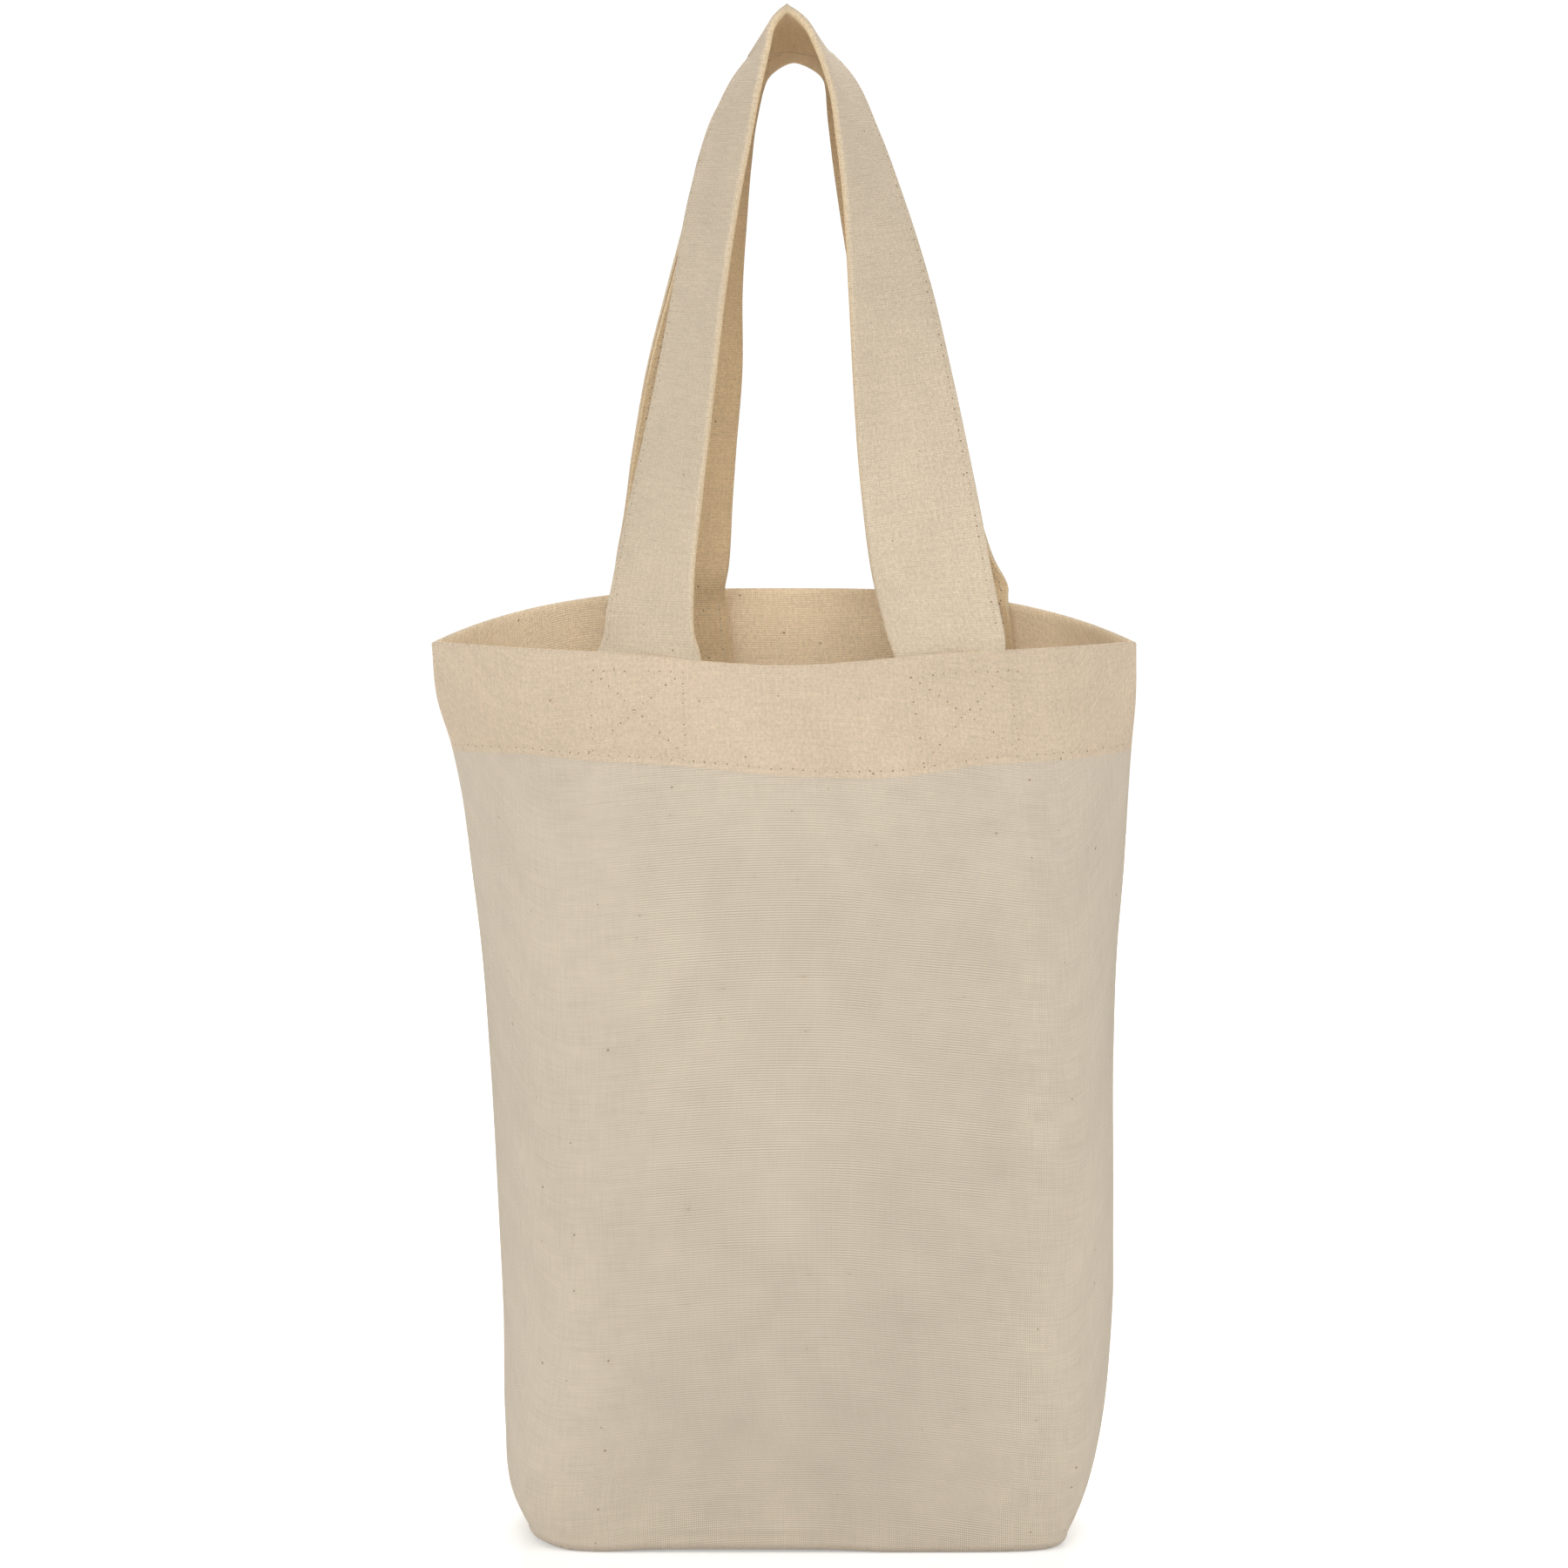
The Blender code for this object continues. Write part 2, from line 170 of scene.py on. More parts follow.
# %% [markdown]
# The shape of the bag.
#
# A sewn bag has no flat sides: each level cut through it is a soft lens that is sharp at the side seams,
# and it grows squarer towards the boxed base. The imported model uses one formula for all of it, and this
# script repeats that formula, because the finished cloth has to lie where the plain layers are. Each level
# section is a superellipse, whose two powers say how square its front and its sides are. The powers, the
# half widths and the depth change with the height along smooth curves through short tables.

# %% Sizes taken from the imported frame
panel_low, panel_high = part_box("front_panel")
back_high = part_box("back_panel")[1]
half_mouth = (panel_high[0] - panel_low[0]) / 2
side_height = panel_high[2]
half_depth = -panel_low[1]
back_mouth_rise = back_high[2] - side_height
mouth_depth = 0.056
front_mouth_dip = 0.0023
base_edge_radius = 0.003
wall_height = side_height - base_edge_radius
print("half mouth", round(half_mouth, 4), "side height", round(side_height, 4), "half depth", half_depth)

# %% Tables of the outline, as shares of the sizes above
outline_height_shares = (0, 0.05, 0.13, 0.25, 0.35, 0.54, 0.66, 0.75, 0.84, 0.89, 0.94, 1)
left_outline_shares = (0.715, 0.780, 0.806, 0.812, 0.822, 0.845, 0.866, 0.892, 0.921, 0.948, 0.986, 1)
right_outline_shares = (0.795, 0.856, 0.916, 0.950, 0.950, 0.946, 0.954, 0.971, 0.982, 0.990, 1, 1)
depth_height_shares = (0, 0.08, 0.13, 0.25, 0.35, 0.55, 0.77, 1)
body_depth_shares = (0.720, 0.810, 0.865, 0.965, 1, 1, 0.965, mouth_depth / (2 * half_depth))
power_height_shares = (0, 0.15, 0.45, 0.80, 1)
left_front_powers = (7.0, 4.4, 3.2, 2.7, 2.4)
left_side_powers = (7.0, 2.4, 1.5, 1.15, 1.0)
right_front_powers = (9.0, 4.6, 4.0, 3.0, 2.4)
right_side_powers = (9.0, 3.0, 2.0, 1.35, 1.0)
mouth_rise_power = 2.8
mouth_dip_reach_share = 0.5


# %% Curves through short tables
def smooth(at, places, values):
    """A smooth curve through a short table, with each point's slope taken from its neighbours."""
    places = np.asarray(places, float)
    values = np.asarray(values, float)
    slopes = np.gradient(values, places)
    at = np.clip(np.asarray(at, float), places[0], places[-1])
    start = np.clip(np.searchsorted(places, at) - 1, 0, len(places) - 2)
    run = places[start + 1] - places[start]
    t = (at - places[start]) / run
    ease = t * t * (3 - 2 * t)
    leaving = slopes[start] * run * t * (1 - t) ** 2
    arriving = slopes[start + 1] * run * t * t * (1 - t)
    return values[start] * (1 - ease) + values[start + 1] * ease + leaving - arriving


def soft_step(value, start, end):
    """0 before the start, 1 after the end, and a smooth rise between them."""
    t = np.clip((value - start) / (end - start), 0, 1)
    return t * t * (3 - 2 * t)


def hill(value, middle, reach):
    """A soft hill, exp(-((value - middle) / reach) ** 2): 1 at its middle and near 0 two reaches away."""
    return np.exp(-(((value - middle) / reach) ** 2))


# %% Helpers for rows of points
def unit(vectors):
    """Each vector at length 1."""
    return vectors / np.linalg.norm(vectors, axis=-1, keepdims=True)


def lengths_along(points):
    """The distance along a line of points to each of them, from 0 at the first."""
    steps = np.linalg.norm(np.diff(points, axis=0), axis=-1)
    return np.concatenate([np.zeros_like(steps[:1]), np.cumsum(steps, axis=0)])


def points_at(wanted, lengths, line):
    """The points of a line at the wanted lengths along it."""
    return np.stack([np.interp(wanted, lengths, line[:, axis]) for axis in range(3)], axis=1)


def between_rows(place, *fields):
    """Each field at places between its rows, blended by how near each row is."""
    lower = np.clip(place.astype(int), 0, len(fields[0]) - 2)
    part = (place - lower)[:, None, None]
    return tuple(field[lower] * (1 - part) + field[lower + 1] * part for field in fields)


# %% Level sections of the bag
section_samples = 480
side_tables = {
    -1: (left_outline_shares, left_front_powers, left_side_powers),
    1: (right_outline_shares, right_front_powers, right_side_powers),
}


def level_sections(height_shares, insets):
    """Half of a level section for each height share, from the left seam to the right, as x and depth.

    Each side follows (x / half width) ** front power + (depth / half depth) ** side power = 1, drawn in
    by an inset. A sharp edge is drawn in further than a round one, so that the cloth keeps its thickness.
    """
    height_shares = np.asarray(height_shares, float)[:, None]
    insets = np.asarray(insets, float)[:, None]
    deep = half_depth * smooth(height_shares, depth_height_shares, body_depth_shares)
    angles = np.linspace(0, math.pi / 2, section_samples)[None, :]
    sides = []
    for shares, fronts, edges in side_tables.values():
        wide = half_mouth * smooth(height_shares, outline_height_shares, shares)
        front = smooth(height_shares, power_height_shares, fronts)
        edge = smooth(height_shares, power_height_shares, edges)
        slope = front * deep / wide
        edge_insets = insets * (1 + np.clip(2 - edge, 0, 1) * (np.hypot(1, 1 / slope) - 1))
        x = (wide - edge_insets) * np.cos(angles) ** (2 / front)
        depth = (deep - insets) * np.sin(angles) ** (2 / edge)
        x[:, -1] = 0
        sides.append((x, depth))
    (left_x, left_depth), (right_x, right_depth) = sides
    x = np.concatenate([-left_x, right_x[:, -2::-1]], axis=1)
    depth = np.concatenate([left_depth, right_depth[:, -2::-1]], axis=1)
    return x, depth


def along_sections(height_shares, insets, cloth_shares):
    """Points at shares of each section's length, from -1 at the left seam to 1 at the right.

    All rows are laid end to end on one long scale, so a single interpolation serves the whole grid. The
    third result is each row's half length.
    """
    x, depth = level_sections(height_shares, insets)
    steps = np.hypot(np.diff(x, axis=1), np.diff(depth, axis=1))
    lengths = np.concatenate([np.zeros((len(x), 1)), np.cumsum(steps, axis=1)], axis=1)
    row_starts = 2.0 * np.arange(len(x))[:, None]
    known = (lengths / lengths[:, -1:] + row_starts).ravel()
    wanted = (cloth_shares + 1) / 2 + row_starts
    found_x = np.interp(wanted.ravel(), known, x.ravel()).reshape(wanted.shape)
    found_depth = np.interp(wanted.ravel(), known, depth.ravel()).reshape(wanted.shape)
    return found_x, found_depth, lengths[:, -1:] / 2


def mouth_height(cloth_shares, side):
    """Height of the mouth's edge: the front dips between the handles, and the back stands higher."""
    across = np.abs(cloth_shares)
    if side > 0:
        return side_height + back_mouth_rise * (1 - across**mouth_rise_power)
    reach = np.clip(across / mouth_dip_reach_share, 0, 1)
    return side_height - front_mouth_dip * np.cos(reach * math.pi / 2) ** 2


def wall_points(cloth_shares, wall_shares, insets, side):
    """Points of a panel's upright wall, for one row of cloth shares at each wall share and inset."""
    wall_shares = np.asarray(wall_shares, float)
    insets = np.broadcast_to(insets, wall_shares.shape)
    x, depth, half_length = along_sections(
        (base_edge_radius + wall_height * wall_shares) / side_height, insets, cloth_shares
    )
    rise = mouth_height(cloth_shares, side) - base_edge_radius
    z = base_edge_radius + rise * wall_shares[:, None]
    return np.stack([x, side * depth, z], axis=2), half_length


mouth_half_length = along_sections([1.0], [0.0], np.zeros((1, 1)))[2][0, 0]
print("half the mouth's edge along one panel:", round(mouth_half_length, 4))

# %% [markdown]
# How the cloth settles.
#
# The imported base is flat, as a designer would draw it. A real empty base isn't: its left front corner
# curls up by 2 mm, the middle of its front edge stands half a millimetre off the table, and the rest
# bears. The settling is a gentle lift that depends on the place in the bag alone, so every piece of cloth
# there can share it and stay joined.

# %% The lift of the base's front edge
lift_x = (-0.060, -0.052, -0.048, -0.041, -0.030, 0, 0.010, 0.022, 0.060)
lift_heights = (0.0020, 0.0012, 0.0003, 0, 0.0005, 0.0006, 0.0005, 0, 0)
lift_reach_up = 0.06
lift_reach_back = 0.0223


def settle(points):
    """Raise points near the base: most at the front edge, not at all at the back or above the reach."""
    towards_front = np.clip(0.5 - points[..., 1] / (2 * lift_reach_back), 0, 1)
    fading = np.clip(1 - points[..., 2] / lift_reach_up, 0, 1) ** 2
    lift = np.maximum(smooth(points[..., 0], lift_x, lift_heights), 0)
    settled = points.copy()
    settled[..., 2] += lift * towards_front * fading
    return settled


# %% [markdown]
# From arrays to Blender.
#
# Each piece of cloth is two matching grids of points, one for each face, closed round the border. The
# mesh keeps two things for its finish: a UV map in metres of cloth, which the weave follows, and numbers
# on its points, such as how many layers lie there.

# %% Meshes from whole arrays
crease_angle = math.radians(50)


def facing_outwards(vertices, faces):
    """Turn all faces over if the volume that they close comes out negative."""
    first, second, third, fourth = (vertices[faces[:, corner]] for corner in range(4))
    volume = (first * np.cross(second, third)).sum() + (first * np.cross(third, fourth)).sum()
    return faces[:, ::-1] if volume < 0 else faces


def cloth_object(name, vertices, faces, cloth, numbers):
    """A mesh object with smooth shading, its UV map named cloth, and its numbers as point attributes."""
    mesh = bpy.data.meshes.new(name)
    mesh.from_pydata(vertices.tolist(), [], [face.tolist() for face in faces])
    corners = np.empty(len(mesh.loops), dtype=np.int32)
    mesh.loops.foreach_get("vertex_index", corners)
    layer = mesh.uv_layers.new(name="cloth")
    layer.data.foreach_set("uv", cloth[corners].astype(np.float32).ravel())
    for title, values in numbers.items():
        attribute = mesh.attributes.new(title, "FLOAT", "POINT")
        attribute.data.foreach_set("value", np.asarray(values, np.float32).ravel())
    mesh.shade_smooth()
    mesh.set_sharp_from_angle(angle=crease_angle)
    piece = bpy.data.objects.new(name, mesh)
    bpy.context.scene.collection.objects.link(piece)
    print(name, len(mesh.vertices), "points,", len(mesh.polygons), "faces")
    return piece


def grid_faces(rows, columns, start=0):
    """The four-sided faces between neighbouring points of a grid."""
    index = start + np.arange(rows * columns).reshape(rows, columns)
    corners = (index[:-1, :-1], index[:-1, 1:], index[1:, 1:], index[1:, :-1])
    return np.stack(corners, axis=-1).reshape(-1, 4)


def closed_sheet(name, outer, inner, cloth, numbers):
    """A sheet of cloth between two matching grids of points, closed round its four edges."""
    rows, columns = outer.shape[:2]
    count = rows * columns
    index = np.arange(count).reshape(rows, columns)
    border = np.concatenate([index[0], index[1:, -1], index[-1, -2::-1], index[-2:0:-1, 0]])
    ahead = np.roll(border, -1)
    closing = np.stack([border, ahead, ahead + count, border + count], axis=1)
    faces = np.concatenate([grid_faces(rows, columns)[:, ::-1], grid_faces(rows, columns, count), closing])
    vertices = np.concatenate([outer.reshape(-1, 3), inner.reshape(-1, 3)])
    faces = facing_outwards(vertices, faces)
    both = {
        title: np.broadcast_to(values, (2, rows, columns)).ravel() for title, values in numbers.items()
    }
    return cloth_object(name, vertices, faces, np.concatenate([cloth, cloth]).reshape(-1, 2), both)


# %% [markdown]
# The cloth of a panel.
#
# Each panel is one piece of calico: half of the base, a tight turn at the base's edge, the wall, a fold
# at the mouth and the hem that hangs down inside. Five separate plates would show their joints, so one
# grid follows the whole way. Its rows are listed by their place up the wall, and by how far the cloth has
# turned over at the mouth: the turn draws the cloth in and lifts it on a half circle.

# %% Rows and columns of a panel
cloth_thickness = 0.00055
layer_gap = 0.0001
fold_radius = cloth_thickness + layer_gap / 2
hem_depth = 0.0228
seam_crowding = 0.35
centre_line_share = 0.93
panel_columns = 132
base_rows = 14
turn_rows = 7
fold_rows = 8

even = np.linspace(-1, 1, panel_columns + 1)
column_shares = even * (1 - seam_crowding) + np.sin(even * math.pi / 2) * seam_crowding
below_mouth = np.concatenate(
    [
        np.linspace(0, 0.0195, 20),
        hem_depth + np.array([-0.0022, -0.0015, -0.0009, -0.0004, -0.00012, 0.00012, 0.0004]),
        hem_depth + np.array([0.0009, 0.0016, 0.0026, 0.004]),
        np.linspace(hem_depth + 0.0055, 0.181, 86),
        np.linspace(0.182, wall_height, 16),
    ]
)
wall_rows = 1 - below_mouth[::-1] / wall_height
hem_rows = 1 - np.linspace(0, hem_depth, 22)[1:] / wall_height
print("rows:", base_rows + turn_rows + len(wall_rows) + fold_rows + len(hem_rows))


def panel_face(side, turn_reach):
    """One face of a panel. The turn reach is the fold's radius on the outer face, and less inside.

    Where the cloth has turned over by an angle at the mouth, its face is drawn in by the fold's radius
    less the turn reach times the cosine, and lifted by the turn reach times the sine.
    """
    inset = fold_radius - turn_reach
    fold_angles = np.linspace(0, math.pi, fold_rows + 2)[1:-1]
    angles = np.concatenate([np.zeros(len(wall_rows)), fold_angles, np.full(len(hem_rows), math.pi)])
    shares = np.concatenate([wall_rows, np.ones(fold_rows), hem_rows])
    columns = np.broadcast_to(column_shares, (len(shares), len(column_shares)))
    upright, half_lengths = wall_points(columns, shares, fold_radius - turn_reach * np.cos(angles), side)
    upright[..., 2] += (turn_reach * np.sin(angles) - fold_radius * shares)[:, None]

    turn_radius = base_edge_radius - inset
    turn_angles = np.linspace(0, math.pi / 2, turn_rows + 1)[:-1]
    x, depth, turn_lengths = along_sections(
        np.full(turn_rows, base_edge_radius / side_height),
        inset + turn_radius * (1 - np.sin(turn_angles)),
        np.broadcast_to(column_shares, (turn_rows, len(column_shares))),
    )
    z = inset + turn_radius * (1 - np.cos(turn_angles))
    turn = np.stack([x, side * depth, np.broadcast_to(z[:, None], x.shape)], axis=2)
    centre = turn[0].copy()
    centre[:, 0] = np.interp(column_shares, (-1, 1), turn[0][[0, -1], 0] * centre_line_share)
    centre[:, 1] = 0
    steps = np.linspace(0, 1, base_rows + 1)[:-1, None, None]
    base = centre + (turn[0] - centre) * steps
    base_lengths = np.broadcast_to(turn_lengths[:1], (base_rows, 1))
    return np.concatenate([base, turn, upright]), np.concatenate([base_lengths, turn_lengths, half_lengths])


outer_faces, inner_faces, panel_half_lengths = {}, {}, {}
for side in (-1, 1):
    outer_faces[side], panel_half_lengths[side] = panel_face(side, fold_radius)
    inner_faces[side] = panel_face(side, fold_radius - cloth_thickness)[0]
print("each panel's grid:", outer_faces[-1].shape[:2])

# %% [markdown]
# Relief of the cloth.
#
# Cloth shows what lies behind it. The hem's second layer stands a hair's breadth proud of the single
# cloth below, the flat ends of the straps press through as rectangles, and each row of stitches draws the
# cloth in. Broad, shallow hills and hollows make the wall sag as an empty bag does. All of these move the
# points along the wall's outward direction, both faces alike, and they fade out at the side seams so that
# the two panels still meet.

# %% Which way the wall faces
first_wall_row = base_rows + turn_rows
wall_count = len(wall_rows)
row_shares = np.concatenate([np.zeros(first_wall_row), wall_rows, np.ones(fold_rows), hem_rows])
below = (1 - row_shares) * wall_height


def wall_frame(face, side):
    """Unit directions out of the wall and up the wall for every row of a panel.

    They come from neighbouring points of the wall. The fold and the hem borrow those of the wall at the
    same height, and the base and its turn those of the lowest wall row.
    """
    wall = face[first_wall_row : first_wall_row + wall_count]
    up = np.gradient(wall, axis=0)
    across = np.gradient(wall, axis=1)
    out = unit(np.cross(across, up))
    out *= np.sign((out[..., 1] * side).sum())
    place = np.interp(row_shares, wall_rows, np.arange(wall_count))
    return between_rows(place, out, unit(up))


# %% Hem, strap ends and stitch lines as relief
hem_step = 0.0002
hem_step_above = 0.0002
hem_step_below = 0.0004
strap_push = 0.0005
strap_end_top = 0.0020
strap_end_bottom = 0.0205
edge_softness = 0.0009
stitch_pull = 0.00016
stitch_pull_reach = 0.0011
hem_stitch_below = hem_depth - 0.0014
pucker_share = 0.35
pucker_wave = 0.0069
pucker_sway = 3
pucker_sway_wave = 0.037


def window(value, low, high):
    """1 between two edges and 0 outside them, with soft sides."""
    risen = soft_step(value, low - edge_softness, low + edge_softness)
    return risen * (1 - soft_step(value, high - edge_softness, high + edge_softness))


def hem_relief(u, depth_below, strap_ends):
    """Height of the cloth over the hem: a second layer, the strap ends and the pull of the stitches."""
    relief = hem_step * (1 - soft_step(depth_below, hem_depth - hem_step_above, hem_depth + hem_step_below))
    along_end = window(depth_below, strap_end_top, strap_end_bottom)
    for low, high in strap_ends:
        relief = relief + strap_push * window(u, low, high) * along_end
    sway = pucker_sway * np.sin(u * 2 * math.pi / pucker_sway_wave)
    pucker = 1 - pucker_share + pucker_share * np.sin(u * 2 * math.pi / pucker_wave + sway)
    return relief - stitch_pull * pucker * hill(depth_below, hem_stitch_below, stitch_pull_reach)


def hills_at(u, height, hills):
    """The sum of broad hills, each with its place, its reach along the cloth and up, and its height."""
    total = np.zeros_like(height)
    for place, up, reach, reach_up, rise in hills:
        total += rise * hill(u, place, reach) * hill(height, up, reach_up)
    return total


# %% Hills and hollows of the two panels
front_hills = (
    (0.049, 0.150, 0.004, 0.040, 0.0007),
    (0.038, 0.140, 0.007, 0.050, -0.0006),
    (-0.052, 0.130, 0.010, 0.060, -0.0008),
    (-0.062, 0.168, 0.008, 0.008, -0.0012),
    (-0.030, 0.070, 0.030, 0.040, 0.0008),
    (0.030, 0.040, 0.020, 0.030, -0.0006),
    (0.055, 0.060, 0.010, 0.050, 0.0006),
    (0.000, 0.185, 0.012, 0.010, -0.0004),
    (-0.010, 0.0055, 0.026, 0.0007, 0.00035),
)
back_hills = (
    (0.030, 0.120, 0.012, 0.060, 0.0009),
    (-0.020, 0.100, 0.014, 0.070, -0.0008),
    (-0.050, 0.060, 0.012, 0.040, 0.0007),
    (0.055, 0.150, 0.010, 0.030, -0.0006),
    (0.000, 0.190, 0.020, 0.012, -0.0010),
    (0.020, 0.030, 0.020, 0.020, -0.0006),
)
hills = {-1: front_hills, 1: back_hills}
strap_ends = {
    -1: ((-0.0425, -0.0210), (0.0248, 0.0478)),
    1: ((-0.0387, -0.0137), (0.0250, 0.0500)),
}
hem_depth_places = (-0.080, -0.060, -0.040, -0.020, 0.002, 0.024, 0.041, 0.064, 0.080)
hem_depth_changes = (0.0002, -0.0006, -0.0002, -0.0006, 0.0003, 0.0016, 0.0004, 0.0004, 0)
back_hem_change = 0.0005
back_hem_turns = 60
slide_reach = 0.02
seam_fade_power = 10
base_fade_power = 4


def relieved(face, side):
    """A panel's face with its relief, slid so that one row follows the hem's uneven lower edge."""
    out, up = wall_frame(outer_faces[side], side)
    u = column_shares[None, :] * panel_half_lengths[side]
    depth_below = np.broadcast_to(below[:, None], u.shape)
    relief = hem_relief(u, depth_below, strap_ends[side])
    relief = relief + hills_at(u, side_height - depth_below, hills[side])
    relief = relief * (1 - np.abs(column_shares[None, :]) ** seam_fade_power)
    relief[:first_wall_row] *= np.linspace(0, 1, first_wall_row)[:, None] ** base_fade_power
    if side < 0:
        change = smooth(u, hem_depth_places, hem_depth_changes)
    else:
        change = back_hem_change * np.sin(u * back_hem_turns)
    above = np.clip(depth_below / hem_depth, 0, 1)
    under = np.clip(1 - (depth_below - hem_depth) / slide_reach, 0, 1)
    slide = -change * np.where(depth_below < hem_depth, above, under)
    return settle(face + relief[..., None] * out + slide[..., None] * up)


panel_faces = {
    side: [relieved(faces[side], side) for faces in (outer_faces, inner_faces)] for side in (-1, 1)
}
print("front panel reaches y", round(float(panel_faces[-1][0][..., 1].min()), 5))

# %% [markdown]
# The weave.
#
# Calico is a plain weave: each thread goes over one crossing thread and under the next. A picture of
# cloth would blur when seen close by, so the weave is worked out in the material from the cloth's own
# coordinates. The sines of the two thread phases are 0 between threads and 1 or -1 on them. Their product
# changes sign from crossing to crossing, which says which thread lies on top, and where both are near 0
# there is a pinhole. Slow noise along each thread makes it thicker and thinner, broad noise mottles the
# cloth, and a cell pattern scatters the small brown flecks of seed that unbleached cotton keeps.

# %% Steps of arithmetic in a material
def calc(tree, operation, *values, clamp=False):
    """One step of arithmetic: each value is a number or the output of another step."""
    inputs = dict(enumerate(values))
    return wired(tree, "ShaderNodeMath", inputs, operation=operation, use_clamp=clamp).outputs[0]


def noise_at(tree, place, scales, detail=0.0):
    """Soft noise around 0.5 at a place of two numbers, each multiplied by its own scale."""
    scaled = {axis: calc(tree, "MULTIPLY", place[axis], scales[axis]) for axis in (0, 1)}
    vector = wired(tree, "ShaderNodeCombineXYZ", scaled).outputs[0]
    inputs = {"Scale": 1, "Detail": detail, "Vector": vector}
    return wired(tree, "ShaderNodeTexNoise", inputs, noise_dimensions="2D").outputs["Fac"]


def point_number(tree, title):
    """A number kept on the mesh's points."""
    return wired(tree, "ShaderNodeAttribute", attribute_name=title).outputs["Fac"]


def mixed(tree, factor, *colours):
    """Two colours mixed by a factor, each a colour or the output of another step."""
    first, second = ((*colour, 1) if isinstance(colour, tuple) else colour for colour in colours)
    return wired(tree, "ShaderNodeMix", {0: factor, 6: first, 7: second}, data_type="RGBA").outputs[2]


def new_finish(name, roughness, specular):
    """A material, its node tree and its shader, whose roughness and shine are the same all over."""
    material = bpy.data.materials.new(name)
    material.use_nodes = True
    shader = material.node_tree.nodes["Principled BSDF"]
    shader.inputs["Roughness"].default_value = roughness
    shader.inputs["Specular IOR Level"].default_value = specular
    return material, material.node_tree, shader


def cloth_place(tree):
    """The place on the UV map called cloth, and its two parts in metres."""
    place = wired(tree, "ShaderNodeUVMap", uv_map="cloth").outputs[0]
    parts = wired(tree, "ShaderNodeSeparateXYZ", {0: place}).outputs
    return place, (parts[0], parts[1])


def bumped(tree, shader, height, strength, distance):
    """Let a height bend the light on the shader, as a relief of the given distance would."""
    bump = wired(tree, "ShaderNodeBump", {"Strength": strength, "Distance": distance, "Height": height})
    tree.links.new(bump.outputs[0], shader.inputs["Normal"])


# %% The calico finish
warp_pitch = 0.000423
weft_pitch = 0.000508
thread_drift = 0.0004
drift_scales = (260.0, 45.0)
warp_tone_scales = (0.9 / warp_pitch, 140.0)
weft_tone_scales = (110.0, 0.9 / weft_pitch)
mottle_scales = (85.0, 85.0)
broad_scales = (22.0, 22.0)
grain_scales = (1500.0, 1300.0)
cloth_level = 1.045
thread_gain = 0.16
# Painted shade: how much darker the cloth is painted where open is 0, towards the side seams and over the
# hem, straps and seams.
painted_shade_off_middle = 0.07
mottle_gain = 0.10
double_grain = 0.34
pinhole_power = 1.4
# Painted shade in the pinholes, and its extra depth where open is 1.
pinhole_shade = 0.18
opened_shade = 0.55
fleck_colour = (0.27, 0.17, 0.09)
fleck_spacing = 0.0085
fleck_rarity = 0.45
fleck_size = 0.075
fleck_crispness = 60.0
fleck_strength = 0.8
thread_relief = 0.3
weave_relief = 0.00016


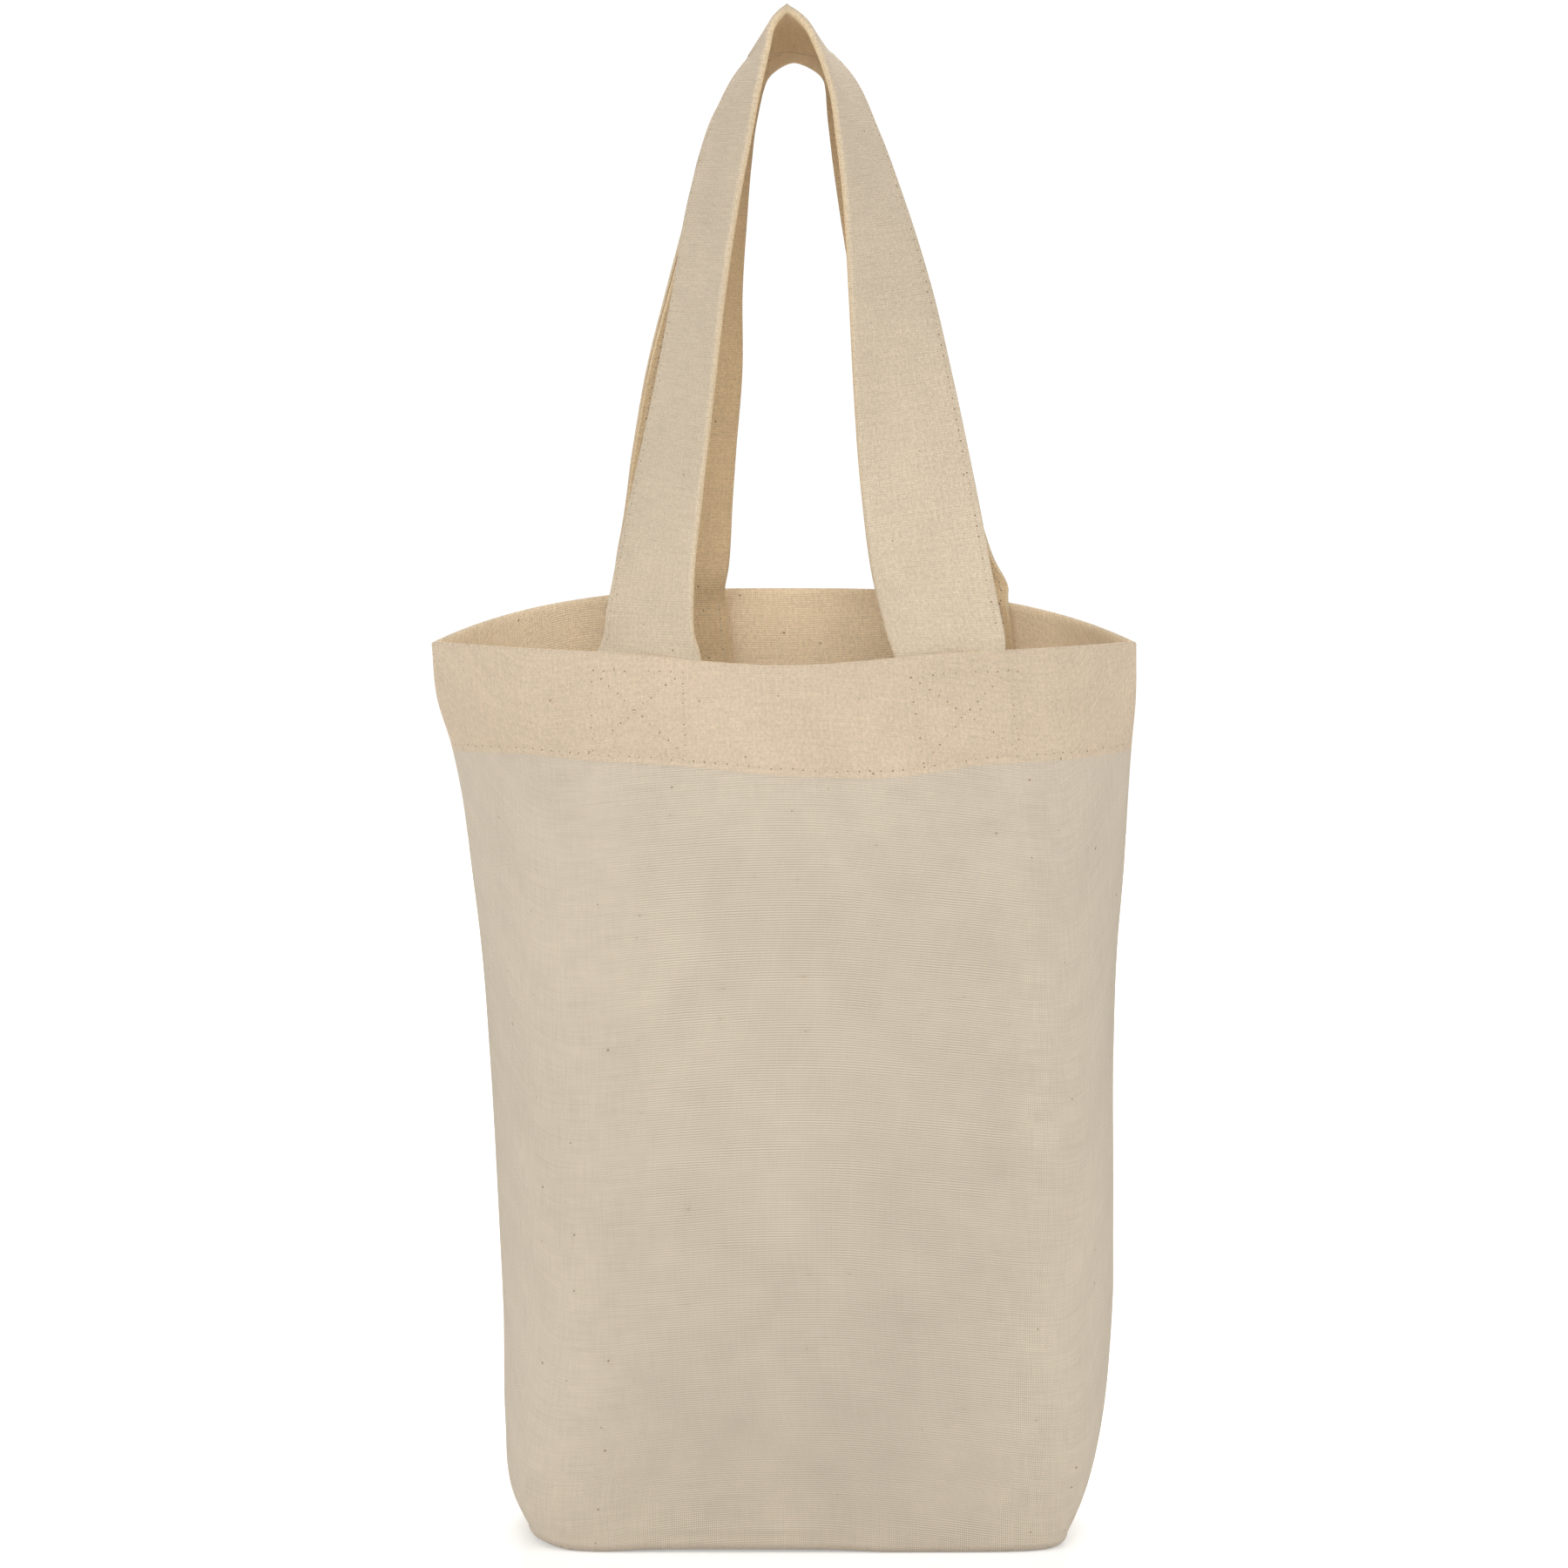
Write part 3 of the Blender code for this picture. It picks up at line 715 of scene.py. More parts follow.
def calico(name, single_colour, double_colour, painted_inner_light):
    """Plain-weave cotton. The mesh's UV map is in metres of cloth. Its number called layers mixes the two
    colours. Its number called inside mixes in a warmer colour on the faces that look into the bag and on
    the
    inner faces of the straps: painted light, for light that comes through the cloth and bounces inside. Its
    number called open says how dark the pinholes are painted, as shade seen through them, and where it is
    low the whole cloth is painted darker, as shade towards the sides."""
    material, tree, shader = new_finish(name, roughness=0.92, specular=0.2)
    place, (u, v) = cloth_place(tree)

    warp_drift = noise_at(tree, (u, v), drift_scales)
    weft_drift = noise_at(tree, (u, v), drift_scales[::-1])
    warp_place = calc(tree, "MULTIPLY_ADD", warp_drift, thread_drift, u)
    weft_place = calc(tree, "MULTIPLY_ADD", weft_drift, thread_drift, v)
    across = calc(tree, "SINE", calc(tree, "MULTIPLY", warp_place, math.pi / warp_pitch))
    along = calc(tree, "SINE", calc(tree, "MULTIPLY", weft_place, math.pi / weft_pitch))
    crossing = calc(tree, "MULTIPLY", across, along)
    heights, gaps = [], []
    for wave, half in ((across, 0.5), (along, -0.5)):
        uppermost = calc(tree, "MULTIPLY_ADD", crossing, half, 0.5)
        heights.append(calc(tree, "MULTIPLY", calc(tree, "ABSOLUTE", wave), uppermost))
        gaps.append(calc(tree, "SUBTRACT", 1.0, calc(tree, "MULTIPLY", wave, wave)))
    height = calc(tree, "MAXIMUM", *heights)
    pinhole = calc(tree, "POWER", calc(tree, "MULTIPLY", *gaps), pinhole_power)

    warp_tone = noise_at(tree, (u, v), warp_tone_scales)
    weft_tone = noise_at(tree, (u, v), weft_tone_scales)
    on_top = calc(tree, "MULTIPLY_ADD", crossing, 2.0, 0.5, clamp=True)
    under_tone = calc(tree, "MULTIPLY", weft_tone, calc(tree, "SUBTRACT", 1.0, on_top))
    thread_tone = calc(tree, "MULTIPLY_ADD", warp_tone, on_top, under_tone)

    opened = point_number(tree, "open")
    layers = point_number(tree, "layers")
    # Painted shade: the pinholes are darkened as shade seen through the gaps between threads, most where
    # open is 1.
    shade = calc(tree, "MULTIPLY_ADD", opened, -opened_shade, -pinhole_shade)
    # Painted shade: the tone drops where open is low, towards the side seams and over the hem, straps and
    # seams.
    level = cloth_level - thread_gain / 2 - painted_shade_off_middle
    tone = calc(tree, "MULTIPLY_ADD", thread_tone, thread_gain, level)
    tone = calc(tree, "MULTIPLY_ADD", opened, painted_shade_off_middle, tone)
    tone = calc(tree, "ADD", tone, calc(tree, "MULTIPLY", pinhole, shade))
    for scales, detail in ((mottle_scales, 3.0), (broad_scales, 2.0)):
        blotch = calc(tree, "SUBTRACT", noise_at(tree, (u, v), scales, detail), 0.5)
        tone = calc(tree, "MULTIPLY_ADD", blotch, mottle_gain, tone)
    grain = calc(tree, "SUBTRACT", noise_at(tree, (u, v), grain_scales, 2.0), 0.5)
    tone = calc(tree, "MULTIPLY_ADD", calc(tree, "MULTIPLY", grain, double_grain), layers, tone)

    around = {"Scale": 1 / fleck_spacing, "Vector": place}
    cells = wired(tree, "ShaderNodeTexVoronoi", around, voronoi_dimensions="2D")
    chance = wired(tree, "ShaderNodeSeparateColor", {0: cells.outputs["Color"]}).outputs[0]
    size = calc(tree, "MULTIPLY", calc(tree, "SUBTRACT", chance, fleck_rarity), fleck_size)
    within = calc(tree, "SUBTRACT", size, cells.outputs["Distance"])
    fleck = calc(tree, "MULTIPLY", within, fleck_crispness, clamp=True)

    ground = mixed(tree, layers, single_colour, double_colour)
    # Painted light: a warmer colour on the inner faces, for light that comes through the cloth and bounces
    # inside the bag.
    ground = mixed(tree, point_number(tree, "inside"), ground, painted_inner_light)
    toned = wired(tree, "ShaderNodeVectorMath", {0: ground, "Scale": tone}, operation="SCALE").outputs[0]
    flecked = mixed(tree, calc(tree, "MULTIPLY", fleck, fleck_strength), toned, fleck_colour)
    tree.links.new(flecked, shader.inputs["Base Color"])
    relief = calc(tree, "MULTIPLY_ADD", thread_tone, thread_relief, height)
    bumped(tree, shader, relief, 0.7, weave_relief)
    shader.inputs["Sheen Weight"].default_value = 0.08
    shader.inputs["Sheen Roughness"].default_value = 0.5
    return material


panel_colour = (0.662, 0.570, 0.455)
hem_colour = (0.697, 0.563, 0.417)
strap_colour = (0.699, 0.582, 0.435)
seam_colour = (0.640, 0.520, 0.385)
# Painted light: warmer colours for the panels' inner faces and the straps' inner faces, standing for light
# that comes through the cloth and bounces between its faces.
panel_inner_light_colour = (0.92, 0.75, 0.53)
strap_inner_light_colour = (0.79, 0.605, 0.375)
panel_cloth = calico("panel_cloth", panel_colour, hem_colour, panel_inner_light_colour)
strap_cloth = calico("strap_cloth", strap_colour, strap_colour, strap_inner_light_colour)
seam_cloth = calico("seam_cloth", seam_colour, seam_colour, seam_colour)
print("finishes:", panel_cloth.name, strap_cloth.name, seam_cloth.name)


# %% The two panels
def cloth_coordinates(side):
    """Metres of cloth at each point: across from the middle line, and up from the base's centre line."""
    v = lengths_along(panel_faces[side][0])
    return np.stack([np.broadcast_to(column_shares * panel_half_lengths[side], v.shape), v], axis=2)


# The pinholes are painted darkest round this middle, and beyond the last distance the cloth is painted
# darker as shade instead.
dark_pinholes_middle = 0.006
dark_pinholes_to = 0.030
side_shade_from = 0.055
opened_at_hem = 0.55
fully_open_below = 2.2 * hem_depth


def panel_numbers(side):
    """Layers is 1 over the hem and on it. Open is 1 on the flat middle of the wall and falls to 0 towards
    the side seams and over the hem: the pinholes are painted darkest where it is 1, as shade seen through
    them, and the cloth is painted darker where it is low, as shade towards the sides. Inside is 1 on the
    faces that look into the bag: on the hem once the cloth has turned over, and on the back of the wall,
    where a warmer colour is painted light."""
    u = column_shares * panel_half_lengths[side]
    depth_below = np.broadcast_to(below[:, None], u.shape)
    layers = (depth_below < hem_depth).astype(float)
    opened = (1 - soft_step(np.abs(u - dark_pinholes_middle), dark_pinholes_to, side_shade_from)) * (1 - layers)
    lower = soft_step(depth_below, hem_depth, fully_open_below)
    opened = opened * (opened_at_hem + (1 - opened_at_hem) * lower)
    turned = np.concatenate(
        [np.zeros(first_wall_row + wall_count), np.linspace(0, 1, fold_rows), np.ones(len(hem_rows))]
    )
    turned = np.broadcast_to(turned[:, None], u.shape)
    return {"layers": layers, "open": opened, "inside": np.stack([turned, 1 - turned])}


def make_panel(name, side):
    """A finished panel, with its finish and its place in the bag's body."""
    piece = closed_sheet(name, *panel_faces[side], cloth_coordinates(side), panel_numbers(side))
    piece.data.materials.append(panel_cloth)
    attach(piece, "bag_body")
    return piece


front_cloth = make_panel("front_cloth", -1)
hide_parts("front_panel", "front_hem")
back_cloth = make_panel("back_cloth", 1)
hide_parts("back_panel", "back_hem")

# %% [markdown]
# The straps.
#
# Each strap is a strip of calico folded in four: one long edge is a fold, and the other is two lips with
# a fine groove between them, held by a row of stitches. It starts flat inside the hem, leaves the mouth,
# turns by a quarter of a turn on its way up and passes over the top. A profile of the folded tape is
# carried along the strap's middle line. The middle surface is worked out first, at any distance across
# the strap, and the profile's points stand on it along its normals.

# %% The legs' tables
strap_width = 0.025
strap_thickness = 0.0016
folded_opening = 0.1
strap_inset = 2 * fold_radius + layer_gap + strap_thickness / 2
stand_clearance = 0.0007
sewn_end_length = 0.0205
handles_parting = 0.001
height_shares = (0, 0.04, 0.10, 0.25, 0.40, 0.55, 0.70, 0.80, 0.88, 0.94, 0.98, 1)
front_left_leg = {
    "place": -0.0298,
    "slant": 0.0020,
    "inward_shares": (0, 0, 0.027, 0.137, 0.254, 0.360, 0.474, 0.585, 0.705, 0.832, 0.912, 1),
    "turns": (40, 42.5, 47.5, 55, 61, 65, 66.5, 70, 77, 85, 87, 88),
}
front_right_leg = {
    "place": 0.0367,
    "slant": 0.0020,
    "inward_shares": (0, 0.036, 0.090, 0.190, 0.275, 0.359, 0.468, 0.562, 0.658, 0.795, 0.904, 1),
    "turns": (0, 0, 1, 17, 32, 46, 61, 70, 78, 86, 88, 88),
}
back_left_leg = {
    "place": -0.0265,
    "slant": -0.0008,
    "inward_shares": (0, 0.022, 0.056, 0.125, 0.209, 0.291, 0.396, 0.462, 0.547, 0.668, 0.822, 1),
    "turns": (0, 5, 17, 27.5, 35.5, 51, 61.5, 66, 72, 79, 84, 86),
}
back_right_leg = {
    "place": 0.0396,
    "slant": 0.0008,
    "inward_shares": (0, 0.086, 0.149, 0.252, 0.323, 0.414, 0.519, 0.603, 0.667, 0.728, 0.839, 1),
    "turns": (0, 10, 22, 34, 46, 54, 60, 67, 73, 79, 84, 86),
}
front_top = {"x": 0.0005, "rise": 0.1333, "rounding": 0.0034, "drawn_up": 1.15, "droop": 0.0085}
back_top = {"x": 0.0020, "rise": 0.1158, "rounding": 0.0055, "drawn_up": 0.0, "droop": 0.0}
droop_reach = 0.0085
spread_per_droop = 0.62
parting_reach = 0.003
plumb_from_share = 0.90
leg_stations = 150
sewn_stations = 16
crowding_power = 1.35
dense_step = 0.0002
rounding_reach = 0.02
normal_ease = 1e-4
rim_free_from = -0.0050
rim_free_to = 0.0040
square_from = 0.030


# %% Where a leg starts
def fold_height(side):
    """Height of the line on which a strap bends over the mouth's edge."""
    return side_height + (back_mouth_rise if side > 0 else 0) + stand_clearance


def inward_sign(leg):
    """1 for a left leg, whose way in is towards +X, and -1 for a right one."""
    return -math.copysign(1, leg["place"])


def hem_line(side, leg, across, climbed):
    """The strap's middle surface flat inside the hem, at heights from its fold line and distances across.

    Below the fold line it follows the wall, and above it the mouth's own curve is carried straight up.
    """
    down = np.clip(-climbed, 0, sewn_end_length)
    slant = math.copysign(1, leg["place"]) * leg["slant"] * (1 - (1 - down / sewn_end_length) ** 3)
    shares = (leg["place"] + slant[:, None] + inward_sign(leg) * across[None, :]) / mouth_half_length
    points = wall_points(shares, 1 - down / wall_height, strap_inset, side)[0]
    points[..., 2] = fold_height(side) + climbed[:, None]
    return points


def foot_of(side, leg):
    """Where a leg's middle line starts: on the fold line, at the mean depth of the strap's width."""
    ends = hem_line(side, leg, np.array([-1, 0, 1]) * strap_width / 2, np.zeros(1))[0]
    return np.array([ends[1, 0], ends[:, 1].mean(), ends[1, 2]])


# %% The middle line over the arch
def arch_line(side, left_leg, right_leg, top):
    """The strap's middle line from foot to foot, once with a sharp peak and once with a rounded one, and
    with each point's height share and which leg it is on.

    A leg comes in by the shares in its table. The rounding averages each point near the peak with its
    neighbours.
    """
    peak = np.array(
        [top["x"], side * (strap_width + handles_parting) / 2, fold_height(side) + top["rise"]]
    )
    heights = np.sin(np.linspace(0, math.pi / 2, 4 * section_samples))
    halves = []
    for leg in (left_leg, right_leg):
        foot = foot_of(side, leg)
        inward = smooth(heights, height_shares, leg["inward_shares"])
        halves.append(foot + (peak - foot) * np.stack([inward, heights, heights], axis=1))
    line = np.concatenate([halves[0], halves[1][-2::-1]])
    shares = np.concatenate([heights, heights[-2::-1]])
    lengths = lengths_along(line)
    even_lengths = np.linspace(0, lengths[-1], int(lengths[-1] / dense_step))
    even_line = points_at(even_lengths, lengths, line)
    peak_length = lengths[len(heights) - 1]
    reach = int(top["rounding"] / dense_step)
    weights = np.hanning(2 * reach + 1)
    weights /= weights.sum()
    padded = np.pad(even_line, ((reach, reach), (0, 0)), mode="edge")
    rounded = np.stack([np.convolve(padded[:, axis], weights, "valid") for axis in range(3)], axis=1)
    near = hill(even_lengths, peak_length, rounding_reach)[:, None]
    rounded = even_line * (1 - near) + rounded * near
    steps = 1 - (1 - np.arange(leg_stations + 1) / leg_stations) ** crowding_power
    falling = lengths[-1] - steps * (lengths[-1] - peak_length)
    wanted = np.concatenate([steps * peak_length, falling[-2::-1]])
    at = np.interp(wanted, lengths, shares)
    sharp, soft = (points_at(wanted, even_lengths, run) for run in (even_line, rounded))
    return soft, sharp - soft, at, np.arange(len(wanted)) <= leg_stations


# %% The middle surface of a whole strap
def strap_middle(side, left_leg, right_leg, top):
    """A function that gives the strap's middle surface, station by station, at distances across it.

    At each station the strap has turned about its own line by an angle: 0 faces the front, and 90
    degrees lies across the bag. Its width runs level at the rim, where the sewn end holds it, and comes
    square to its line on the way up, because a width that tilted at once would fold over itself. At the
    peak it runs straight down, so that both edges keep the peak's shape. The second result is how far
    the outer face of the folded cloth is drawn up to a point at each station.
    """
    line, drawn, at, on_left = arch_line(side, left_leg, right_leg, top)
    flat_end = np.linspace(-sewn_end_length, 0, sewn_stations + 1)[:-1]
    hanging = np.stack([0 * flat_end, 0 * flat_end, flat_end], axis=1)
    line = np.concatenate([line[:1] + hanging, line, line[-1:] + hanging[::-1]])
    at = np.pad(at, sewn_stations)
    drawn = np.pad(drawn, ((sewn_stations, sewn_stations), (0, 0))) * top["drawn_up"]
    on_left = np.pad(on_left, sewn_stations, mode="edge")
    tangents = unit(np.gradient(line, axis=0))
    level = unit(np.array([0, side, 0]) - tangents * (tangents[:, 1:2] * side))
    inward = -side * np.cross(tangents, level)
    climbed = line[:, 2] - fold_height(side)
    squared = soft_step(climbed, 0, square_from)[:, None]
    inward = inward * squared + np.sign(inward[:, :1]) * np.array([1, 0, 0]) * (1 - squared)
    at_peak = soft_step(at, plumb_from_share, 1)[:, None]
    inward = unit(inward * (1 - at_peak) + np.array([0, 0, -1]) * at_peak)
    left_turns, right_turns = (smooth(at, height_shares, leg["turns"]) for leg in (left_leg, right_leg))
    turns = np.radians(np.where(on_left, left_turns, right_turns))[:, None]
    crosswise = np.cos(turns) * inward + np.sin(turns) * level
    free = soft_step(climbed, rim_free_from, rim_free_to)[:, None, None]
    lengths = lengths_along(line)
    peak_length = lengths[line[:, 2].argmax()]
    near_peak = hill(lengths, peak_length, droop_reach)[:, None]
    parting = np.tanh((lengths - peak_length) / parting_reach)[:, None]

    def middle(across):
        across = np.asarray(across, float)
        surface = line[:, None, :] + across[None, :, None] * crosswise[:, None, :]
        droop = top["droop"] * near_peak * np.clip(0.5 - across / strap_width, 0, 1)
        surface[..., 2] -= droop
        surface[..., 0] += droop * spread_per_droop * parting
        left_flat, right_flat = (hem_line(side, leg, across, climbed) for leg in (left_leg, right_leg))
        return np.where(on_left[:, None, None], left_flat, right_flat) * (1 - free) + surface * free

    return middle, drawn


# %% The profile of a folded tape
def folded_profile(width, thickness, lip_radius, groove_depth, face_points=9, round_points=6):
    """A closed outline: a rounded fold at +width / 2, and two lips with a groove at -width / 2.

    It starts and ends at the bottom of the groove, where the join in its UV map doesn't show.
    """
    half = thickness / 2
    turn = np.linspace(math.pi / 2, 3 * math.pi / 2, round_points)
    lip_across = -width / 2 + lip_radius + lip_radius * np.cos(turn)
    lip_through = half - lip_radius + lip_radius * np.sin(turn)
    fold = np.linspace(math.pi / 2, -math.pi / 2, round_points + 3)
    fold_across = width / 2 - half + half * np.cos(fold)
    face = np.linspace(-width / 2 + lip_radius, width / 2 - half, face_points + 2)[1:-1]
    across = np.concatenate(
        [[-width / 2 + groove_depth], lip_across[::-1], face, fold_across, face[::-1], lip_across]
    )
    flat = np.full(face_points, half)
    through = np.concatenate(
        [[0], lip_through[::-1], flat, half * np.sin(fold), -flat, -lip_through]
    )
    return across, through


def surface_and_normals(middle, across):
    """A middle surface at distances across it, and its normals: the cross product of the way along and
    the way across."""
    across = np.asarray(across, float)
    surface = middle(across)
    sideways = middle(across + normal_ease) - middle(across - normal_ease)
    return surface, unit(np.cross(np.gradient(surface, axis=0), sideways))


def carried(name, middle, across, through, finish, drawn=None, outer_sign=1):
    """A profile carried along a middle surface, with closed ends and the perimeter as its UV map.

    The points of the outer face are moved on by the drawn distance of their station.
    """
    surface, normals = surface_and_normals(middle, across)
    points = surface + normals * through[..., None]
    on_top = np.clip(0.5 + outer_sign * through / np.ptp(through), 0, 1)
    if drawn is not None:
        points = points + drawn[:, None, :] * on_top[None, :, None]
    rows, columns = points.shape[:2]
    index = np.arange(rows * columns).reshape(rows, columns)
    after = np.roll(index, -1, axis=1)
    sides = np.stack([index[:-1], after[:-1], after[1:], index[1:]], axis=-1).reshape(-1, 4)
    vertices = points.reshape(-1, 3)
    flipped = facing_outwards(vertices, sides)[0, 0] != sides[0, 0]
    faces = list(sides[:, ::-1] if flipped else sides)
    faces += [index[0] if flipped else index[0, ::-1], index[-1, ::-1] if flipped else index[-1]]
    steps = np.hypot(np.diff(across), np.diff(through))
    u = np.broadcast_to(np.concatenate([[0], np.cumsum(steps)]), (rows, columns))
    lengths = lengths_along(surface.mean(axis=1))
    v = np.broadcast_to(lengths[:, None], (rows, columns))
    cloth = np.stack([u, v], axis=2).reshape(-1, 2)
    print(name, "is", round(float(lengths[-1]), 4), "m long")
    plain = np.ones((rows, columns))
    # Painted light and shade: inside paints a warmer colour on the face away from the outer one, and open
    # sets the painted shade in the pinholes.
    numbers = {"layers": plain, "open": plain * folded_opening, "inside": plain * (1 - on_top)}
    piece = cloth_object(name, vertices, faces, cloth, numbers)
    piece.data.materials.append(finish)
    return piece


# %% The two straps
strap_lip_radius = 0.00036
strap_groove_depth = 0.0010
strap_across, strap_through = folded_profile(
    strap_width, strap_thickness, strap_lip_radius, strap_groove_depth
)
front_middle, front_drawn = strap_middle(-1, front_left_leg, front_right_leg, front_top)
back_middle, back_drawn = strap_middle(1, back_left_leg, back_right_leg, back_top)
front_strap = carried(
    "front_strap", front_middle, strap_across, strap_through, strap_cloth, front_drawn, outer_sign=-1
)
back_strap = carried("back_strap", back_middle, strap_across, strap_through, strap_cloth)


def on_handle():
    """A function that bakes a piece's place into its own mesh.
    """

    def seat(piece):
        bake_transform(piece)

    return seat


for strap, body, side in ((front_strap, "front_handle", -1), (back_strap, "back_handle", 1)):
    on_handle()(strap)
    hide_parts(body, body + "_left_end", body + "_right_end")

# %% [markdown]
# The seams inside.
#
# The panels are sewn together inside out, so on the turned bag the cut edges stand inside it: down both
# sides, along the middle of the base and across the base's two ends, where the corners are boxed. Each is
# two layers, 7 mm wide, sewn near the root and overcast at the raw edge. The same folded profile that
# makes a strap makes these ribbons too: its fold is the sewn root, and its two lips are the raw edges. A
# raw edge is loose, so it waves more the further it is from the root.

# %% Ribbons for the cut edges
seam_width = 0.007
seam_thickness = 0.0011
seam_lip_radius = 0.00024
seam_groove_depth = 0.0009
seam_foot = 0.0009
seam_clearance = 0.0003
side_seam_foot = seam_foot + seam_width + seam_clearance
long_wave = 0.045
short_wave = 0.017


def waving(along, height, phase):
    """A slow and a quick sine wave together, as loose cloth edges have."""
    slow = np.sin(2 * math.pi * along / long_wave + phase)
    return height * (slow + 0.4 * np.sin(2 * math.pi * along / short_wave + 2 * phase))


def seam_middle(root, away, lean, wave):
    """The middle surface of a seam ribbon that stands away from its root and leans by a wave.

    The wave grows with the square of the distance from the root, so the sewn line itself stays still.
    """

    def middle(across):
        distance = seam_width / 2 - np.asarray(across, float)[None, :, None]
        swing = wave[:, None, None] * (distance / seam_width) ** 2
        return settle(root[:, None, :] + away * distance + lean * swing)

    return middle


def side_seam_root(sign, heights):
    """Where the two panels' inner faces leave just room for the seam's thickness, level by level."""
    insets = np.full(len(heights), cloth_thickness + layer_gap)
    x, depth = level_sections(heights / side_height, insets)
    half = slice(0, section_samples) if sign < 0 else slice(None, section_samples - 2, -1)
    room = seam_thickness / 2 + layer_gap
    found = [np.interp(room, depth[row, half], x[row, half]) for row in range(len(heights))]
    return np.stack([np.array(found), np.zeros(len(heights)), heights], axis=1)


def base_end(sign, shares):
    """The base's end, drawn in far enough for a seam, at shares of the depth from the front to the back."""
    inset = base_edge_radius + seam_thickness / 2
    low = base_edge_radius / side_height
    outline, fronts, edges = side_tables[sign]
    wide = half_mouth * smooth(low, outline_height_shares, outline) - inset
    deep = half_depth * smooth(low, depth_height_shares, body_depth_shares) - inset
    front, edge = (smooth(low, power_height_shares, powers) for powers in (fronts, edges))
    x = sign * wide * (1 - np.abs(shares) ** edge) ** (1 / front)
    return np.stack([x, deep * shares, np.full(len(shares), seam_foot)], axis=1)


# %% The five seams
upwards = np.array([0.0, 0.0, 1.0])
backwards = np.array([0.0, 1.0, 0.0])
side_wave = 0.0011
corner_wave = 0.0009
corner_lean = 0.0004
bottom_wave = 0.0018
bottom_phase = 1.0
corner_gap = 0.0030
side_heights = np.linspace(side_seam_foot, side_height - hem_depth - 2 * seam_clearance, 90)
end_shares = np.linspace(-0.8, 0.8, 36)
seam_middles = {}
for name, sign, phase in (("left", -1, 0.4), ("right", 1, 2.1)):
    inwards = np.array([-sign, 0.0, 0.0])
    root = side_seam_root(sign, side_heights)
    wave = waving(side_heights, side_wave, phase)
    seam_middles[name + "_side"] = seam_middle(root, inwards, backwards, wave)
    end = base_end(sign, end_shares)
    wave = np.abs(waving(end[:, 1], corner_wave, phase)) + corner_lean
    seam_middles[name + "_corner"] = seam_middle(end, upwards, inwards, wave)
left_end, right_end = (base_end(sign, np.zeros(1))[0, 0] for sign in (-1, 1))
base_x = np.linspace(left_end + corner_gap, right_end - corner_gap, 70)
base_root = np.stack([base_x, 0 * base_x, np.full_like(base_x, seam_foot)], axis=1)
wave = waving(base_x, bottom_wave, bottom_phase)
seam_middles["bottom"] = seam_middle(base_root, upwards, backwards, wave)
seam_across, seam_through = folded_profile(
    seam_width, seam_thickness, seam_lip_radius, seam_groove_depth, face_points=6, round_points=4
)
for name, middle in seam_middles.items():
    piece = carried(name + "_seam_edges", middle, seam_across, seam_through, seam_cloth)
    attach(piece, "bag_body")
    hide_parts(name + "_seam")

# %% [markdown]
# The stitches.
#
# A lockstitch shows as short runs of thread that dive into the cloth at each needle hole, and from a step
# away the holes are what the eye sees: small brown points, 2.3 mm apart. So each stitch is a short tube,
# bent into a low arch whose ends lie under the cloth, and at each of its ends sits a flat dark lens of
# painted shade, for the shade in the needle hole. All the tubes of a row are worked out at once. One array
# holds where the stitches start, one where they end and one which way is out of the cloth.

# %% Thread and needle holes
thread_radius = 0.00011
stitch_pitch = 0.0023
stitch_rings = 6
stitch_sides = 5
stitch_arch = 0.00020
stitch_bury = 0.00015
stitch_wander = 0.00011
wander = np.random.default_rng(7)
hole_radius = 0.00019
hole_sides = 8
hole_proud = 0.00003
hole_sunk = 0.00010
thread_colour = (0.74, 0.62, 0.47)
# Painted shade: the colours of the dark lenses that stand for the shade in the needle holes.
hole_shade_colour = (0.27, 0.18, 0.10)
filled_hole_colour = (0.56, 0.43, 0.30)
hole_noise_scale = 700
hole_contrast = 5.0
open_below = 0.46
ply_shade = 0.72
twist_pitch = 0.0006


def thread_finish():
    """Cotton thread: its two plies wind round it, as a slanting stripe on the stitch's own UV map."""
    material, tree, shader = new_finish("thread", roughness=0.8, specular=0.25)
    _, (round_it, along_it) = cloth_place(tree)
    turn = calc(tree, "MULTIPLY", round_it, 2 * math.pi)
    wound = calc(tree, "SINE", calc(tree, "MULTIPLY_ADD", along_it, 2 * math.pi / twist_pitch, turn))
    ply = calc(tree, "MULTIPLY_ADD", wound, 0.5, 0.5)
    shaded = tuple(ply_shade * part for part in thread_colour)
    tree.links.new(mixed(tree, ply, shaded, thread_colour), shader.inputs["Base Color"])
    bumped(tree, shader, ply, 0.4, thread_radius / 3)
    return material


def hole_finish():
    """The shade in a needle hole. Some holes stand open, and thread nearly fills others, as noise says."""
    material, tree, shader = new_finish("painted_hole_shade", roughness=1.0, specular=0.0)
    place = wired(tree, "ShaderNodeTexCoord").outputs["Object"]
    noise = wired(tree, "ShaderNodeTexNoise", {"Scale": hole_noise_scale, "Vector": place}).outputs["Fac"]
    filled = calc(tree, "MULTIPLY_ADD", noise, hole_contrast, -hole_contrast * open_below, clamp=True)
    tree.links.new(mixed(tree, filled, hole_shade_colour, filled_hole_colour), shader.inputs["Base Color"])
    return material


thread = thread_finish()
painted_hole_shade = hole_finish()


